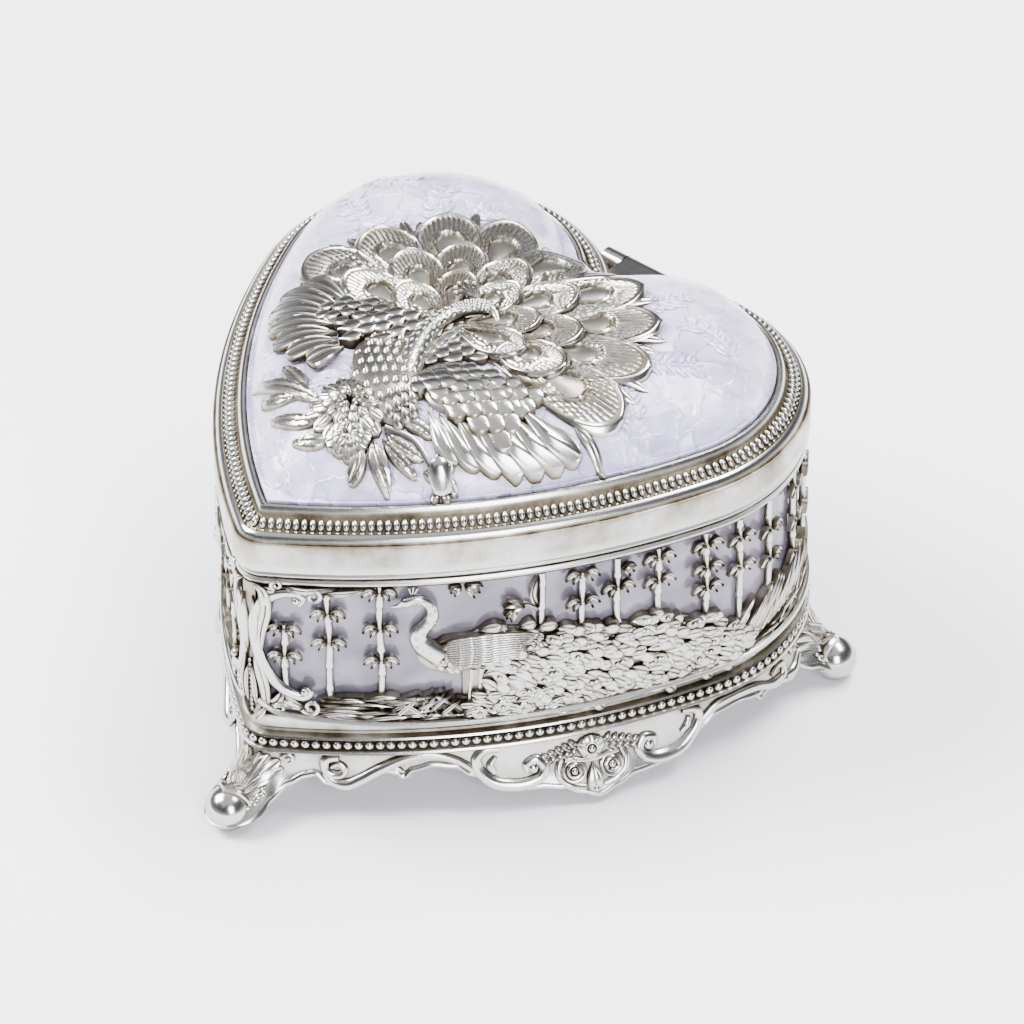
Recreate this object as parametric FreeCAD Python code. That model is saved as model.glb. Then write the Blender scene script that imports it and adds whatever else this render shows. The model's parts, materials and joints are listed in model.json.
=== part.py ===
"""A heart-shaped wind-up music box: cast and plated case on three feet, hinged lid, jewel tray,
and an 18-note comb movement with its winding key underneath.

Millimetres, +Z up, +Y towards the hinge. The origin is on the table under the middle of the box.
Run it with FreeCAD's own Python; it writes one STEP for each sub-part into parts/.
"""

import FreeCAD
import Part
import math
import os

Vector = FreeCAD.Vector
UP = Vector(0, 0, 1)

# ---------------------------------------------------------------- driving sizes: the heart outline
HEART_WIDTH = 100.0  # over the lid's band, lobe to lobe
HEART_LENGTH = 97.4  # lobe tops to the sharp tip
CLEFT_DEPTH = 8.7  # lobe tops down to the sharp cleft
SIDE_RADIUS = 116.4  # bow of the long sides
TIP_RADIUS = 5.0  # rounding of the tip
CLEFT_RADIUS = 2.2  # rounding of the cleft
SMALLEST_ROUND = 0.6  # tightest corner a casting keeps

# ---------------------------------------------------------------- driving sizes: heights
PLATE_Z = 11.3  # underside of the bottom plate
PLATE_THICK = 1.2
FLANGE_THICK = 4.0  # the base frame's top flange, over the bottom plate
WALL_HEIGHT = 32.0  # body frame, from flange to lid
BAND_HEIGHT = 5.7  # the lid's plain band
RIM_HEIGHT = 3.8  # from the band's top to the enamel's edge
DOME_HEIGHT = 9.4
ENAMEL_THICK = 0.6
ORNAMENT_THICK = 2.2
DOME_SHARE = 0.55  # of the lobe's radius, from the enamel's edge to the crown
DOME_ROUNDNESS = 1.8
DOME_STEPS = (0.0, 0.04, 0.12, 0.25, 0.42, 0.65, 1.0)
LIFT_STEP = 12  # how soon a layer over the dome reaches its full lift
TAIL_CENTRE = (-4.0, -16.0)  # root of the fan of tail feathers, from the lobe centres
TAIL_REACH = (30.0, 33.0, 34.0, 33.0, 31.0, 31.0, 33.0, 34.0, 30.0)  # fan's edge, left to right
TAIL_FIRST, TAIL_STEP = 168.0, -22.0  # degrees from +X
BREAST = ((10, -12), (-2, -16), (-14, -10))  # the bird's front, from the fan's root
SPRAY_CENTRE, SPRAY_R = (-10.0, -41.0), 9.0

# ---------------------------------------------------------------- driving sizes: walls and insets
BODY_INSET = 0.6  # body frame's face, inside the lid's band
PANEL_INSET = 1.9  # face of the coloured liner
FRAME_WALL = 1.3  # thickness of the pierced wall
LINER_THICK = 0.8
RIM_WALL = 1.2  # lip round the tray's flange
LEDGE_INSET = 4.0  # inner edge of the ledge the tray hangs on
LEDGE_HEIGHT = 1.2
TRAY_SINK = 0.8  # the ledge's top under the lid's edge
SILL_HEIGHT = 1.0
WINDOW_LOW, WINDOW_HIGH = 2.6, 3.0  # sill and head of the pierced windows
TIP_COLUMN = 0.07  # share of the long side kept solid at the tip
LOBE_COLUMN = 96.0  # degrees on the lobe where the window ends
SCENE_INSET = 0.5  # face of the garden scene
BANK_HEIGHT = 4.0
STEM_R = 0.6
STEM_SHARES = (0.13, 0.22, 0.33, 0.66, 0.75, 0.84, 0.93)
TRAIN_STEPS = ((0.28, 0.5, 13.0), (0.5, 0.8, 16.0), (0.8, 1.0, 12.0))  # from, to, height over the sill
TRAY_WALL = 1.2
TRAY_CLEAR = 0.4  # tray's floor over the movement
FLOCK_THICK = 0.8
BASE_INSET = 1.2  # base frame's face, inside the lid's band
APRON_FLARE = 2.6  # how far the apron's lower edge spreads
APRON_WALL = 1.8
APRON_LOW = 1.2  # lowest point of the apron
MOULDING_OUT, MOULDING_HEIGHT = 0.9, 1.8
ARCH_SHARES = (0.32, 0.97)  # where the apron arches up, along the long side
ARCH_HALF, ARCH_TOP = 9.5, 7.0
BACK_ARCH_HALF, BACK_ARCH_DROP = 12.0, 4.2
LID_WALL = 2.0
RIM_BORDER = 5.6  # band's face to the enamel's edge
RIM_SLOPE = (1.2, 1.3)  # inwards and up, from the band to the bead channel
CHANNEL_OUTER, CHANNEL_INNER, CHANNEL_DROP = 1.5, 4.1, 0.6
LIP_IN, LIP_RISE = 4.4, 0.3
LID_PAD_THICK = 1.8
LID_PAD_RISE = 1.0  # pad's face above the lid's edge
FIT_GAP = 0.15  # loose fit between parts that drop in

# ---------------------------------------------------------------- driving sizes: feet, hinge, screws
FOOT_BALL_R = 3.7
FOOT_FLAT = 0.2  # how far the ball is flattened on the table
TIP_FOOT_REACH = 6.3  # ball centre beyond the rounded tip
LOBE_FOOT_REACH = 4.7  # ball centre beyond the lobe
LOBE_FOOT_ANGLE = 31.5  # degrees behind the lobe centre's side
LEG_ROWS = (  # reach inwards from the ball, height over the table, half-width, half-depth
    (1.2, 3.5, 2.4, 2.4),
    (4.0, 6.4, 4.2, 2.4),
    (6.0, 9.5, 7.0, 2.6),
    (6.8, 12.5, 8.5, 3.0),
)
FOOT_SCREW_Z = 9.2
HINGE_GAP = 1.6  # axis behind the lobe tops
KNUCKLE_R = 2.0
HINGE_PIN_R = 0.8
HINGE_SIDE_GAP = 0.25
LID_KNUCKLE_HALF = 6.0
BODY_KNUCKLE_LENGTH = 4.0
HINGE_ARM_SHARE = 0.6  # where the leaves start, of the lobe's radius
LEAF_GAP = 0.3  # each leaf from the lid's edge
BODY_LEAF_DROP = 1.2  # the body's leaf under the knuckle
RUNNING = 0.05  # radial running clearance
SCREW_R = 1.0
SCREW_HEAD_R = 1.9
SCREW_HEAD_H = 1.0
SCREW_SLOT_HALF, SCREW_SLOT_DEPTH = 0.25, 0.4
SCREW_BITE = 3.0  # thread in the case
MOVE_SCREW_BITE = 3.5  # thread in the movement's posts
PLATE_SCREW_INSET = 3.0
PLATE_SCREW_SHARE, PLATE_SCREW_ANGLE = 0.3, 70
BED_SCREW_INSET = 3.0

# ---------------------------------------------------------------- driving sizes: the movement
MOVE_Y = -11.0  # bedplate's middle, measured from the lobe centres
BED_X, BED_Y, BED_THICK = 50.0, 41.0, 2.0
BED_CORNER = 2.5
AXIS_V = 1.0  # barrel and cylinder axes, across the bedplate
BARREL_U = -13.2  # barrel axis, along the bedplate
BARREL_LIFT = 0.9  # barrel's underside over the bedplate
BARREL_HEIGHT = 11.8
BARREL_R = 9.2
BARREL_WALL = 0.8
TOOTH_PITCH = 1.6  # barrel and contrate teeth
BARREL_TEETH, CONTRATE_TEETH = 40, 20
BARREL_TOOTH_BAND = 1.4
BARREL_TOOTH_RISE = 0.2  # toothed band over the barrel's underside
TOOTH_HALF_DEPTH = 0.55
TRAIN_TOOTH_WIDTH = 0.5
SPRING_TURNS, SPRING_THICK = 7, 0.3
SPRING_SIDE_GAP = 0.3
ARBOR_R = 2.2
PIVOT_R = 1.1
RATCHET_R = 4.0
RATCHET_TEETH = 14
RATCHET_THICK = 1.2
RATCHET_DEPTH, RATCHET_LEAN = 0.7, 0.12
BRIDGE_THICK = 1.2
BRIDGE_REACH = 13.2  # post distance either side of the barrel
BRIDGE_HALF = 3.5
POST_R = 1.7
CONTRATE_DISC = 1.2
CONTRATE_GAP = 1.0  # disc from the barrel's pitch circle
AXLE_R = 0.9
BRACKET_THICK = 1.2
BRACKET_HALF = 2.8
BRACKET_FOOT = 9.4  # screw from the cylinder axis, clear of the pins
BRACKET_PAD = 1.2
PLAY = 0.5  # end play between turning and fixed parts
CYLINDER_R = 6.0
NOTES = 18
NOTE_PITCH = 0.83
PIN_R, PIN_STAND, PIN_ROOT = 0.16, 0.5, 0.3
PINS_A_NOTE = 5
TUNE_STEP, TUNE_SHUFFLE = 37.0, 11.0  # degrees from one note's pins to the next
COMB_TIP_GAP = 0.15
COMB_SLOT = 0.2
COMB_TOOTH_LENGTH = 9.0
COMB_ROOT_LENGTH = 5.2
COMB_TOOTH_THICK, COMB_ROOT_THICK = 0.7, 1.8
COMB_BLOCK_MARGIN = 0.4
COMB_SCREW_SHARES = (0.22, 0.78)
SPUR_MODULE = 0.4
END_GEAR_TEETH, PINION_TEETH = 32, 12
SPUR_FACE = 1.2
SPUR_ROOT, SPUR_TIP = 0.52, 0.34  # from the pitch circle
SPUR_TOOTH_SHARE, WORM_TOOTH_SHARE = 0.36, 0.3  # of the circular pitch
GOVERNOR_RISE = 8.5  # degrees that the governor shaft sits above the cylinder's axis
MESH_CLEAR = 0.06
GOVERNOR_PLATE = 1.0
WORM_WHEEL_TEETH = 24
WORM_R, WORM_ROOT_R, WORM_THREAD_WIDTH = 1.5, 1.0, 0.42
WORM_LENGTH = 7.0
WORM_PHASE = 90.0  # turns the thread so that a gap faces the wheel's tooth
THREAD_TAPER = 0.7
WORM_WHEEL_THICK = 1.0
WHEEL_TOOTH_TIP = 0.3  # teeth beyond the pitch circle
GOVERNOR_SHAFT_R = 0.6
FAN_R, FAN_HEIGHT, FAN_THICK = 4.0, 1.8, 0.4
FAN_HUB_R = 1.3
FAN_CLEAR = 0.4  # over the worm wheel
MOVEMENT_HEIGHT = 17.0  # top of the governor bracket over the bedplate
KEY_HUB_R, KEY_WING_HALF, KEY_WING_THICK = 2.6, 9.5, 1.8
KEY_CLEAR = 0.5  # key hub under the bottom plate
KEY_DROP = 9.2  # key's length under the plate
KEY_RING = 2.0  # width of the wing's rings
ARBOR_HOLE_CLEAR = 0.6  # in the bottom plate
ARBOR_STEP = 0.3  # the arbor's shoulder under the plate
KEY_THREAD_LENGTH, KEY_THREAD_CUT = 4.0, 0.7
SQUARE_CUT = 0.5  # arbor to the ratchet's seat
STOP_X, STOP_Y = 20.1, 20.4  # stop rod, from the lobe centres
STOP_ROD_R = 0.8
STOP_HOLE_CLEAR = 0.3  # in the tray
STOP_GUIDE_WALL, STOP_GUIDE_HEIGHT = 1.2, 9.0
STOP_ROD_FOOT = 4.0  # rod's end over the bottom plate
STOP_ROD_GAP = 0.1  # rod's top to the closed lid's pad
STOP_ARM_R = 0.6
STOP_GAP = 0.25  # stop arm from the fan's sweep

# ---------------------------------------------------------------- worked out: the outline's centres
HALF_WIDTH = HEART_WIDTH / 2
LOBE_R = HALF_WIDTH + CLEFT_DEPTH - math.sqrt(HEART_WIDTH * CLEFT_DEPTH)
LOBE_X = HALF_WIDTH - LOBE_R


def circle_meet(a, ra, b, rb):
    """The two points at distance ra from a and rb from b, as (x, y) pairs."""
    dx, dy = b[0] - a[0], b[1] - a[1]
    d = math.hypot(dx, dy)
    along = (ra * ra - rb * rb + d * d) / (2 * d)
    across = math.sqrt(ra * ra - along * along)
    mx, my = a[0] + along * dx / d, a[1] + along * dy / d
    return (mx - across * dy / d, my + across * dx / d), (mx + across * dy / d, my - across * dx / d)


SHARP_TIP_Y = LOBE_R - HEART_LENGTH
SIDE_X, SIDE_Y = min(circle_meet((LOBE_X, 0), SIDE_RADIUS - LOBE_R, (0, SHARP_TIP_Y), SIDE_RADIUS))
SIDE_ANGLE = math.atan2(-SIDE_Y, LOBE_X - SIDE_X)  # where side and lobe run together
ROUND_TIP_Y = SIDE_Y - math.sqrt((SIDE_RADIUS - TIP_RADIUS) ** 2 - SIDE_X**2) - TIP_RADIUS

# ---------------------------------------------------------------- worked out: heights
PLATE_TOP = PLATE_Z + PLATE_THICK
FLANGE_TOP = PLATE_TOP + FLANGE_THICK
PART_Z = FLANGE_TOP + WALL_HEIGHT
BAND_TOP = PART_Z + BAND_HEIGHT
DOME_Z = BAND_TOP + RIM_HEIGHT
BED_TOP = PLATE_TOP + BED_THICK
BARREL_Z = BED_TOP + BARREL_LIFT
CONTRATE_R = CONTRATE_TEETH * TOOTH_PITCH / (2 * math.pi)
BARREL_PITCH_R = BARREL_TEETH * TOOTH_PITCH / (2 * math.pi)
AXIS_Z = BARREL_Z + BARREL_TOOTH_RISE + BARREL_TOOTH_BAND / 2 + CONTRATE_R
RATCHET_Z = BARREL_Z + BARREL_HEIGHT + PLAY
BRIDGE_Z = RATCHET_Z + RATCHET_THICK + PLAY
MOVEMENT_TOP = BED_TOP + MOVEMENT_HEIGHT
RIM_LEDGE_Z = PART_Z - TRAY_SINK - LEDGE_HEIGHT
TRAY_Z = max(MOVEMENT_TOP, BRIDGE_Z + BRIDGE_THICK + SCREW_HEAD_H) + TRAY_CLEAR

# ---------------------------------------------------------------- worked out: where the origin goes
HINGE_Y = LOBE_R + HINGE_GAP
BODY_KNUCKLE_X = LID_KNUCKLE_HALF + HINGE_SIDE_GAP + BODY_KNUCKLE_LENGTH / 2
TIP_BALL_Y = ROUND_TIP_Y - TIP_FOOT_REACH
SHIFT_Y = -((TIP_BALL_Y - FOOT_BALL_R) + (HINGE_Y + KNUCKLE_R)) / 2


# ================================================================ outline helpers
def arc(cx, cy, r, a0, a1, z):
    """An arc edge about (cx, cy) from angle a0 to a1, in radians, turning the short way it is given."""
    points = [Vector(cx + r * math.cos(a), cy + r * math.sin(a), z) for a in (a0, (a0 + a1) / 2, a1)]
    return Part.Arc(*points).toShape()


def heart_wire(inset, z):
    """The heart outline, moved in by inset, as six arcs: side, lobe, cleft, lobe, side, tip."""
    side_r, lobe_r = SIDE_RADIUS - inset, LOBE_R - inset
    tip_r = max(TIP_RADIUS - inset, SMALLEST_ROUND)
    cleft_r = CLEFT_RADIUS + inset
    tip_y = SIDE_Y - math.sqrt((side_r - tip_r) ** 2 - SIDE_X**2)
    cleft_y = math.sqrt((lobe_r + cleft_r) ** 2 - LOBE_X**2)
    tip_turn = math.atan2(tip_y - SIDE_Y, -SIDE_X)
    cleft_turn = math.atan2(cleft_y, -LOBE_X)
    edges = [
        arc(SIDE_X, SIDE_Y, side_r, tip_turn, SIDE_ANGLE, z),
        arc(LOBE_X, 0, lobe_r, SIDE_ANGLE, cleft_turn, z),
        arc(0, cleft_y, cleft_r, cleft_turn - math.pi, -cleft_turn, z),
        arc(-LOBE_X, 0, lobe_r, math.pi - cleft_turn, math.pi - SIDE_ANGLE, z),
        arc(-SIDE_X, SIDE_Y, side_r, math.pi - SIDE_ANGLE, math.pi - tip_turn, z),
        arc(0, tip_y, tip_r, -math.pi - tip_turn, tip_turn, z),
    ]
    return Part.Wire(edges)


def heart(inset, z0, z1):
    """A heart-shaped block between two heights."""
    return Part.Face(heart_wire(inset, z0)).extrude(Vector(0, 0, z1 - z0))


def ring(outer, inner, z0, z1):
    """A heart-shaped ring between two insets."""
    return heart(outer, z0, z1).cut(heart(inner, z0, z1))


def stack(sections):
    """A solid through heart outlines, each given as (inset, z)."""
    return Part.makeLoft([heart_wire(i, z) for i, z in sections], True, True)


def box(x0, y0, z0, x1, y1, z1):
    """A block between two corners."""
    return Part.makeBox(x1 - x0, y1 - y0, z1 - z0, Vector(x0, y0, z0))


def rod(r, z0, z1, x, y):
    """An upright round bar."""
    return Part.makeCylinder(r, z1 - z0, Vector(x, y, z0))


def rod_x(r, x0, x1, y, z):
    """A round bar along X."""
    return Part.makeCylinder(r, x1 - x0, Vector(x0, y, z), Vector(1, 0, 0))


def moved(shape, x, y, z=0):
    """A shifted copy."""
    copy = shape.copy()
    copy.translate(Vector(x, y, z))
    return copy


def turned(shape, angle, centre=Vector(0, 0, 0), axis=UP):
    """A turned copy, in degrees."""
    copy = shape.copy()
    copy.rotate(centre, axis, angle)
    return copy


def mirrored(shape):
    """The same shape on the other side of the heart."""
    return shape.mirror(Vector(0, 0, 0), Vector(1, 0, 0))


def side_point(share, inset):
    """A point on the right-hand long side, share 0 at the tip, with its outward angle."""
    start = math.atan2(ROUND_TIP_Y + TIP_RADIUS - SIDE_Y, -SIDE_X)
    angle = start + (SIDE_ANGLE - start) * share
    r = SIDE_RADIUS - inset
    return SIDE_X + r * math.cos(angle), SIDE_Y + r * math.sin(angle), angle


def lobe_point(degrees, inset):
    """A point on the right-hand lobe, at an angle behind its widest place, with its outward angle."""
    angle = math.radians(degrees)
    r = LOBE_R - inset
    return LOBE_X + r * math.cos(angle), r * math.sin(angle), angle


# ================================================================ lid
def dome_sections(lift):
    """The pillow-shaped dome as heart sections, lift above the bare casting."""
    span = LOBE_R * DOME_SHARE
    edge = RIM_BORDER + ENAMEL_THICK
    sections = []
    for t in DOME_STEPS:
        rise = DOME_HEIGHT * (1 - (1 - t) ** DOME_ROUNDNESS) ** (1 / DOME_ROUNDNESS)
        inset = edge + span * t - lift * (1 - t)
        sections.append((inset, DOME_Z + rise + lift * min(1.0, t * LIFT_STEP)))
    return sections


def lid_body():
    """The lid as a solid lump: band, sloping rim, bead channel and dome."""
    slope_in, slope_up = RIM_SLOPE
    rim = [
        (0, PART_Z),
        (0, BAND_TOP),
        (slope_in, BAND_TOP + slope_up),
        (CHANNEL_OUTER, BAND_TOP + slope_up),
        (CHANNEL_INNER, DOME_Z - CHANNEL_DROP),
        (LIP_IN, DOME_Z + LIP_RISE),
        (RIM_BORDER, DOME_Z),
    ]
    return stack(rim + dome_sections(0))


def lid_hollow():
    """The space inside the lid."""
    wall = LID_WALL
    rim = [(wall, PART_Z), (wall, BAND_TOP - 1.0), (RIM_BORDER + wall, DOME_Z - wall)]
    dome = [(i + wall, z - wall * 0.8) for i, z in dome_sections(0)[2:]]
    return stack(rim + dome)


def lid_shell():
    return lid_body().cut(lid_hollow())


def lid_enamel():
    return stack(dome_sections(ENAMEL_THICK)).cut(lid_body())


def dome_layer(outline, low, high):
    """A plate that follows the dome inside an upright outline, between two lifts over the casting."""
    enamelled = heart(RIM_BORDER + ENAMEL_THICK, PART_Z, 2 * PART_Z)
    prism = outline.extrude(Vector(0, 0, PART_Z)).common(enamelled)
    layer = stack(dome_sections(high)).common(prism)
    return layer.cut(stack(dome_sections(low)))


def closed_curve(points, z):
    """A face inside a smooth closed curve through (x, y) points."""
    curve = Part.BSplineCurve()
    curve.interpolate(Points=[Vector(x, y, z) for x, y in points], PeriodicFlag=True)
    return Part.Face(Part.Wire(curve.toShape()))


def tail_outline():
    """The peacock's body and fanned tail, seen from above."""
    cx, cy = TAIL_CENTRE
    points = []
    for n, reach in enumerate(TAIL_REACH):
        a = math.radians(TAIL_FIRST + n * TAIL_STEP)
        points.append((cx + reach * math.cos(a), cy + reach * math.sin(a)))
    points += [(cx + dx, cy + dy) for dx, dy in BREAST]
    return closed_curve(points, PART_Z)


def peacock_ornament():
    return dome_layer(tail_outline(), ENAMEL_THICK, ENAMEL_THICK + ORNAMENT_THICK)


def flower_spray():
    cx, cy = SPRAY_CENTRE
    disc = Part.Face(Part.Wire(Part.makeCircle(SPRAY_R, Vector(cx, cy, PART_Z))))
    spray = dome_layer(disc, ENAMEL_THICK, ENAMEL_THICK + ORNAMENT_THICK)
    keep_out = tail_outline().extrude(Vector(0, 0, PART_Z))
    return spray.cut(keep_out)


def lid_pad():
    low = PART_Z + LID_PAD_RISE
    return heart(LID_WALL, low, low + LID_PAD_THICK)


# ================================================================ hinge
def knuckle(half, x, bore, arm_low, arm_high):
    """A hinge knuckle about the axis, with an arm that reaches towards the heart."""
    tube = rod_x(KNUCKLE_R, x - half, x + half, HINGE_Y, PART_Z)
    arm = box(x - half, HINGE_ARM_SHARE * LOBE_R, arm_low, x + half, HINGE_Y, arm_high)
    hole = rod_x(bore, x - half - 1, x + half + 1, HINGE_Y, PART_Z)
    return tube.fuse(arm).cut(hole).removeSplitter()


def hinge_leaf_lid():
    bore = HINGE_PIN_R + RUNNING
    leaf = knuckle(LID_KNUCKLE_HALF, 0, bore, PART_Z + LEAF_GAP, PART_Z + KNUCKLE_R)
    return leaf.cut(heart(0, FLANGE_TOP, BAND_TOP))


def hinge_leaf_body():
    leaves = []
    for x in (-BODY_KNUCKLE_X, BODY_KNUCKLE_X):
        low, high = PART_Z - KNUCKLE_R - BODY_LEAF_DROP, PART_Z - LEAF_GAP
        leaf = knuckle(BODY_KNUCKLE_LENGTH / 2, x, HINGE_PIN_R, low, high)
        leaves.append(leaf.cut(heart(BODY_INSET, FLANGE_TOP, BAND_TOP)))
    return Part.makeCompound(leaves)


def hinge_pin():
    half = BODY_KNUCKLE_X + BODY_KNUCKLE_LENGTH / 2
    return rod_x(HINGE_PIN_R, -half, half, HINGE_Y, PART_Z)


# ================================================================ body
def window_wedge():
    """Upright wedge that bounds the right-hand window, from the tip column round to the lobe."""
    x0, y0, a0 = side_point(TIP_COLUMN, 0)
    far = 3 * HEART_WIDTH
    back = LOBE_R / 2
    inner = Vector(LOBE_X - FRAME_WALL, 0, 0)
    end = math.radians(LOBE_COLUMN)
    points = [
        Vector(x0 - back * math.cos(a0), y0 - back * math.sin(a0), 0),
        Vector(x0 + far * math.cos(a0), y0 + far * math.sin(a0), 0),
        Vector(far, far, 0),
        Vector(inner.x + far * math.cos(end), far * math.sin(end), 0),
        inner,
    ]
    return Part.Face(Part.makePolygon(points + points[:1]))


def window_band(outer, inner, z0, z1):
    """The part of a heart ring that lies in the right-hand window."""
    wedge = window_wedge().extrude(Vector(0, 0, 2 * PART_Z))
    return ring(outer, inner, z0, z1).common(wedge)


def body_frame():
    """Cast wall with a rim, a sill and one pierced window on each side."""
    wall = ring(BODY_INSET, PANEL_INSET, FLANGE_TOP, PART_Z)
    ledge = ring(BODY_INSET, LEDGE_INSET, RIM_LEDGE_Z - LEDGE_HEIGHT, RIM_LEDGE_Z)
    sill = ring(BODY_INSET, LEDGE_INSET, FLANGE_TOP, FLANGE_TOP + SILL_HEIGHT)
    low, high = FLANGE_TOP + WINDOW_LOW, PART_Z - WINDOW_HIGH
    opening = window_band(0, PANEL_INSET, low, high)
    return wall.fuse([ledge, sill]).cut([opening, mirrored(opening)]).removeSplitter()


def side_liner():
    low, high = FLANGE_TOP + SILL_HEIGHT, RIM_LEDGE_Z - LEDGE_HEIGHT
    return window_band(PANEL_INSET, PANEL_INSET + LINER_THICK, low, high)


def side_scene():
    """Bamboo stems, bank and peacock in the right-hand window, as plain low relief."""
    low, high = FLANGE_TOP + WINDOW_LOW, PART_Z - WINDOW_HIGH
    shape = window_band(SCENE_INSET, PANEL_INSET, low, low + BANK_HEIGHT)
    band = ring(SCENE_INSET, PANEL_INSET, low, high)
    for start, end, height in TRAIN_STEPS:
        reaches = ((start, 5), (start, -5), (end, -5), (end, 5))
        corners = [side_point(share, reach)[:2] for share, reach in reaches]
        outline = Part.makePolygon([Vector(x, y, low) for x, y in corners + corners[:1]])
        block = Part.Face(outline).extrude(Vector(0, 0, height))
        shape = shape.fuse(band.common(block))
    middle = (SCENE_INSET + PANEL_INSET) / 2
    for share in STEM_SHARES:
        x, y, _ = side_point(share, middle)
        shape = shape.fuse(rod(STEM_R, low, high, x, y))
    return shape.removeSplitter()


# ================================================================ base
def arch_cutter(share, half_width, top):
    """An arch cut through the apron, square to the side at a share of its length."""
    x, y, angle = side_point(share, 0)
    ellipse = Part.Ellipse(Vector(0, 0, 0), max(half_width, top), min(half_width, top)).toShape()
    block = Part.Face(Part.Wire(ellipse)).extrude(Vector(0, 0, LOBE_R))
    block.translate(Vector(0, 0, -LOBE_R / 2))
    block.rotate(Vector(0, 0, 0), Vector(1, 0, 0), 90)
    block.rotate(Vector(0, 0, 0), UP, math.degrees(angle) + 90)
    block.translate(Vector(x, y, 0))
    return block


def apron_inset(z):
    """Inset of the apron's face at a height: it spreads towards its lower edge."""
    return BASE_INSET - APRON_FLARE * (PLATE_TOP - z) / (PLATE_TOP - APRON_LOW)


def apron_block(extra, low=APRON_LOW):
    """The solid inside the apron's face, moved in by extra."""
    return stack([(apron_inset(z) + extra, z) for z in (low, PLATE_TOP)])


def base_frame():
    """Moulded ring under the box, with the scalloped, flared apron below it."""
    apron = apron_block(0).cut(apron_block(APRON_WALL))
    flange = ring(BASE_INSET, LEDGE_INSET, PLATE_TOP, FLANGE_TOP)
    moulding = ring(BASE_INSET - MOULDING_OUT, BASE_INSET, PLATE_TOP, PLATE_TOP + MOULDING_HEIGHT)
    frame = apron.fuse([flange, moulding])
    cutters = []
    for share in ARCH_SHARES:
        arch = arch_cutter(share, ARCH_HALF, ARCH_TOP)
        cutters += [arch, mirrored(arch)]
    back = Part.makeCylinder(BACK_ARCH_HALF, HEART_LENGTH, Vector(0, 0, -BACK_ARCH_DROP), Vector(0, 1, 0))
    cutters.append(back)
    cutters += [hole for _, _, hole in foot_screw_parts()]
    cutters += [rod(SCREW_R, PLATE_Z, PLATE_TOP + SCREW_BITE, x, y) for x, y in plate_screw_places()]
    return frame.cut(cutters).removeSplitter()


def foot_places():
    """Each foot as (ball x, ball y, outward angle)."""
    lobe_a = math.radians(LOBE_FOOT_ANGLE)
    out = LOBE_R + LOBE_FOOT_REACH
    lobe = (LOBE_X + out * math.cos(lobe_a), out * math.sin(lobe_a), lobe_a)
    return {
        "tip_foot": (0.0, TIP_BALL_Y, -math.pi / 2),
        "right_foot": lobe,
        "left_foot": (-lobe[0], lobe[1], math.pi - lobe_a),
    }


def leg_ring(half_width, half_depth):
    """Cross-section of a leg, an ellipse or a circle."""
    if half_width > half_depth:
        return Part.Wire(Part.Ellipse(Vector(0, 0, 0), half_width, half_depth).toShape())
    return Part.Wire(Part.makeCircle(half_width))


def foot(name):
    """A ball toe under a leg that widens up into the apron."""
    x, y, angle = foot_places()[name]
    ball_z = FOOT_BALL_R - FOOT_FLAT
    wires = []
    for back, z, half_width, half_depth in LEG_ROWS:
        wire = leg_ring(half_width, half_depth)
        wire.rotate(Vector(0, 0, 0), UP, math.degrees(angle) + 90)
        wire.translate(Vector(x - back * math.cos(angle), y - back * math.sin(angle), z))
        wires.append(wire)
    leg = Part.makeLoft(wires, True, False)
    ball = Part.makeSphere(FOOT_BALL_R, Vector(x, y, ball_z))
    solid = ball.fuse(leg)
    table = box(x - LOBE_R, y - LOBE_R, -LOBE_R, x + LOBE_R, y + LOBE_R, 0)
    inner = apron_block(0, -FOOT_FLAT)
    holes = [hole for owner, _, hole in foot_screw_parts() if owner == name]
    return solid.removeSplitter().cut([inner] + holes).cut(table)


def foot_screw_parts():
    """(foot, screw, hole) for the screw that holds each foot from inside the apron."""
    parts = []
    for name, (x, y, angle) in foot_places().items():
        reach = TIP_FOOT_REACH if name == "tip_foot" else LOBE_FOOT_REACH
        back = reach + apron_inset(FOOT_SCREW_Z) + APRON_WALL
        inner = Vector(x - back * math.cos(angle), y - back * math.sin(angle), FOOT_SCREW_Z)
        out = Vector(math.cos(angle), math.sin(angle), 0)
        shank = Part.makeCylinder(SCREW_R, APRON_WALL + SCREW_BITE, inner, out)
        head = Part.makeCylinder(SCREW_HEAD_R, SCREW_HEAD_H, inner - out * SCREW_HEAD_H, out)
        parts.append((name, shank.fuse(head).removeSplitter(), shank))
    return parts


def foot_screws():
    apron_inner = apron_block(APRON_WALL)
    solids = []
    for _, screw, hole in foot_screw_parts():
        head = screw.cut(hole).common(apron_inner)
        solids.append(head.fuse(hole).removeSplitter())
    return Part.makeCompound(solids)


def plate_screw_places():
    """The four screws that hold the bottom plate, two on each long side and lobe."""
    places = []
    side = side_point(PLATE_SCREW_SHARE, PLATE_SCREW_INSET)
    lobe = lobe_point(PLATE_SCREW_ANGLE, PLATE_SCREW_INSET)
    for x, y, _ in (side, lobe):
        places += [(x, y), (-x, y)]
    return places


def bed_screw_places():
    """The three screws that hold the movement."""
    u, v = BED_X / 2 - BED_SCREW_INSET, BED_Y / 2 - BED_SCREW_INSET
    return [(-u, MOVE_Y - v), (u, MOVE_Y - v), (u - BED_SCREW_INSET, MOVE_Y + v)]


def base_plate():
    plate = heart(BASE_INSET + APRON_WALL + FIT_GAP, PLATE_Z, PLATE_TOP)
    low, high = PLATE_Z - 1, PLATE_TOP + 1
    holes = [rod(ARBOR_R + ARBOR_HOLE_CLEAR, low, high, BARREL_U, MOVE_Y + AXIS_V)]
    holes += [rod(SCREW_R, low, high, x, y) for x, y in plate_screw_places() + bed_screw_places()]
    return plate.cut(holes)


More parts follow.
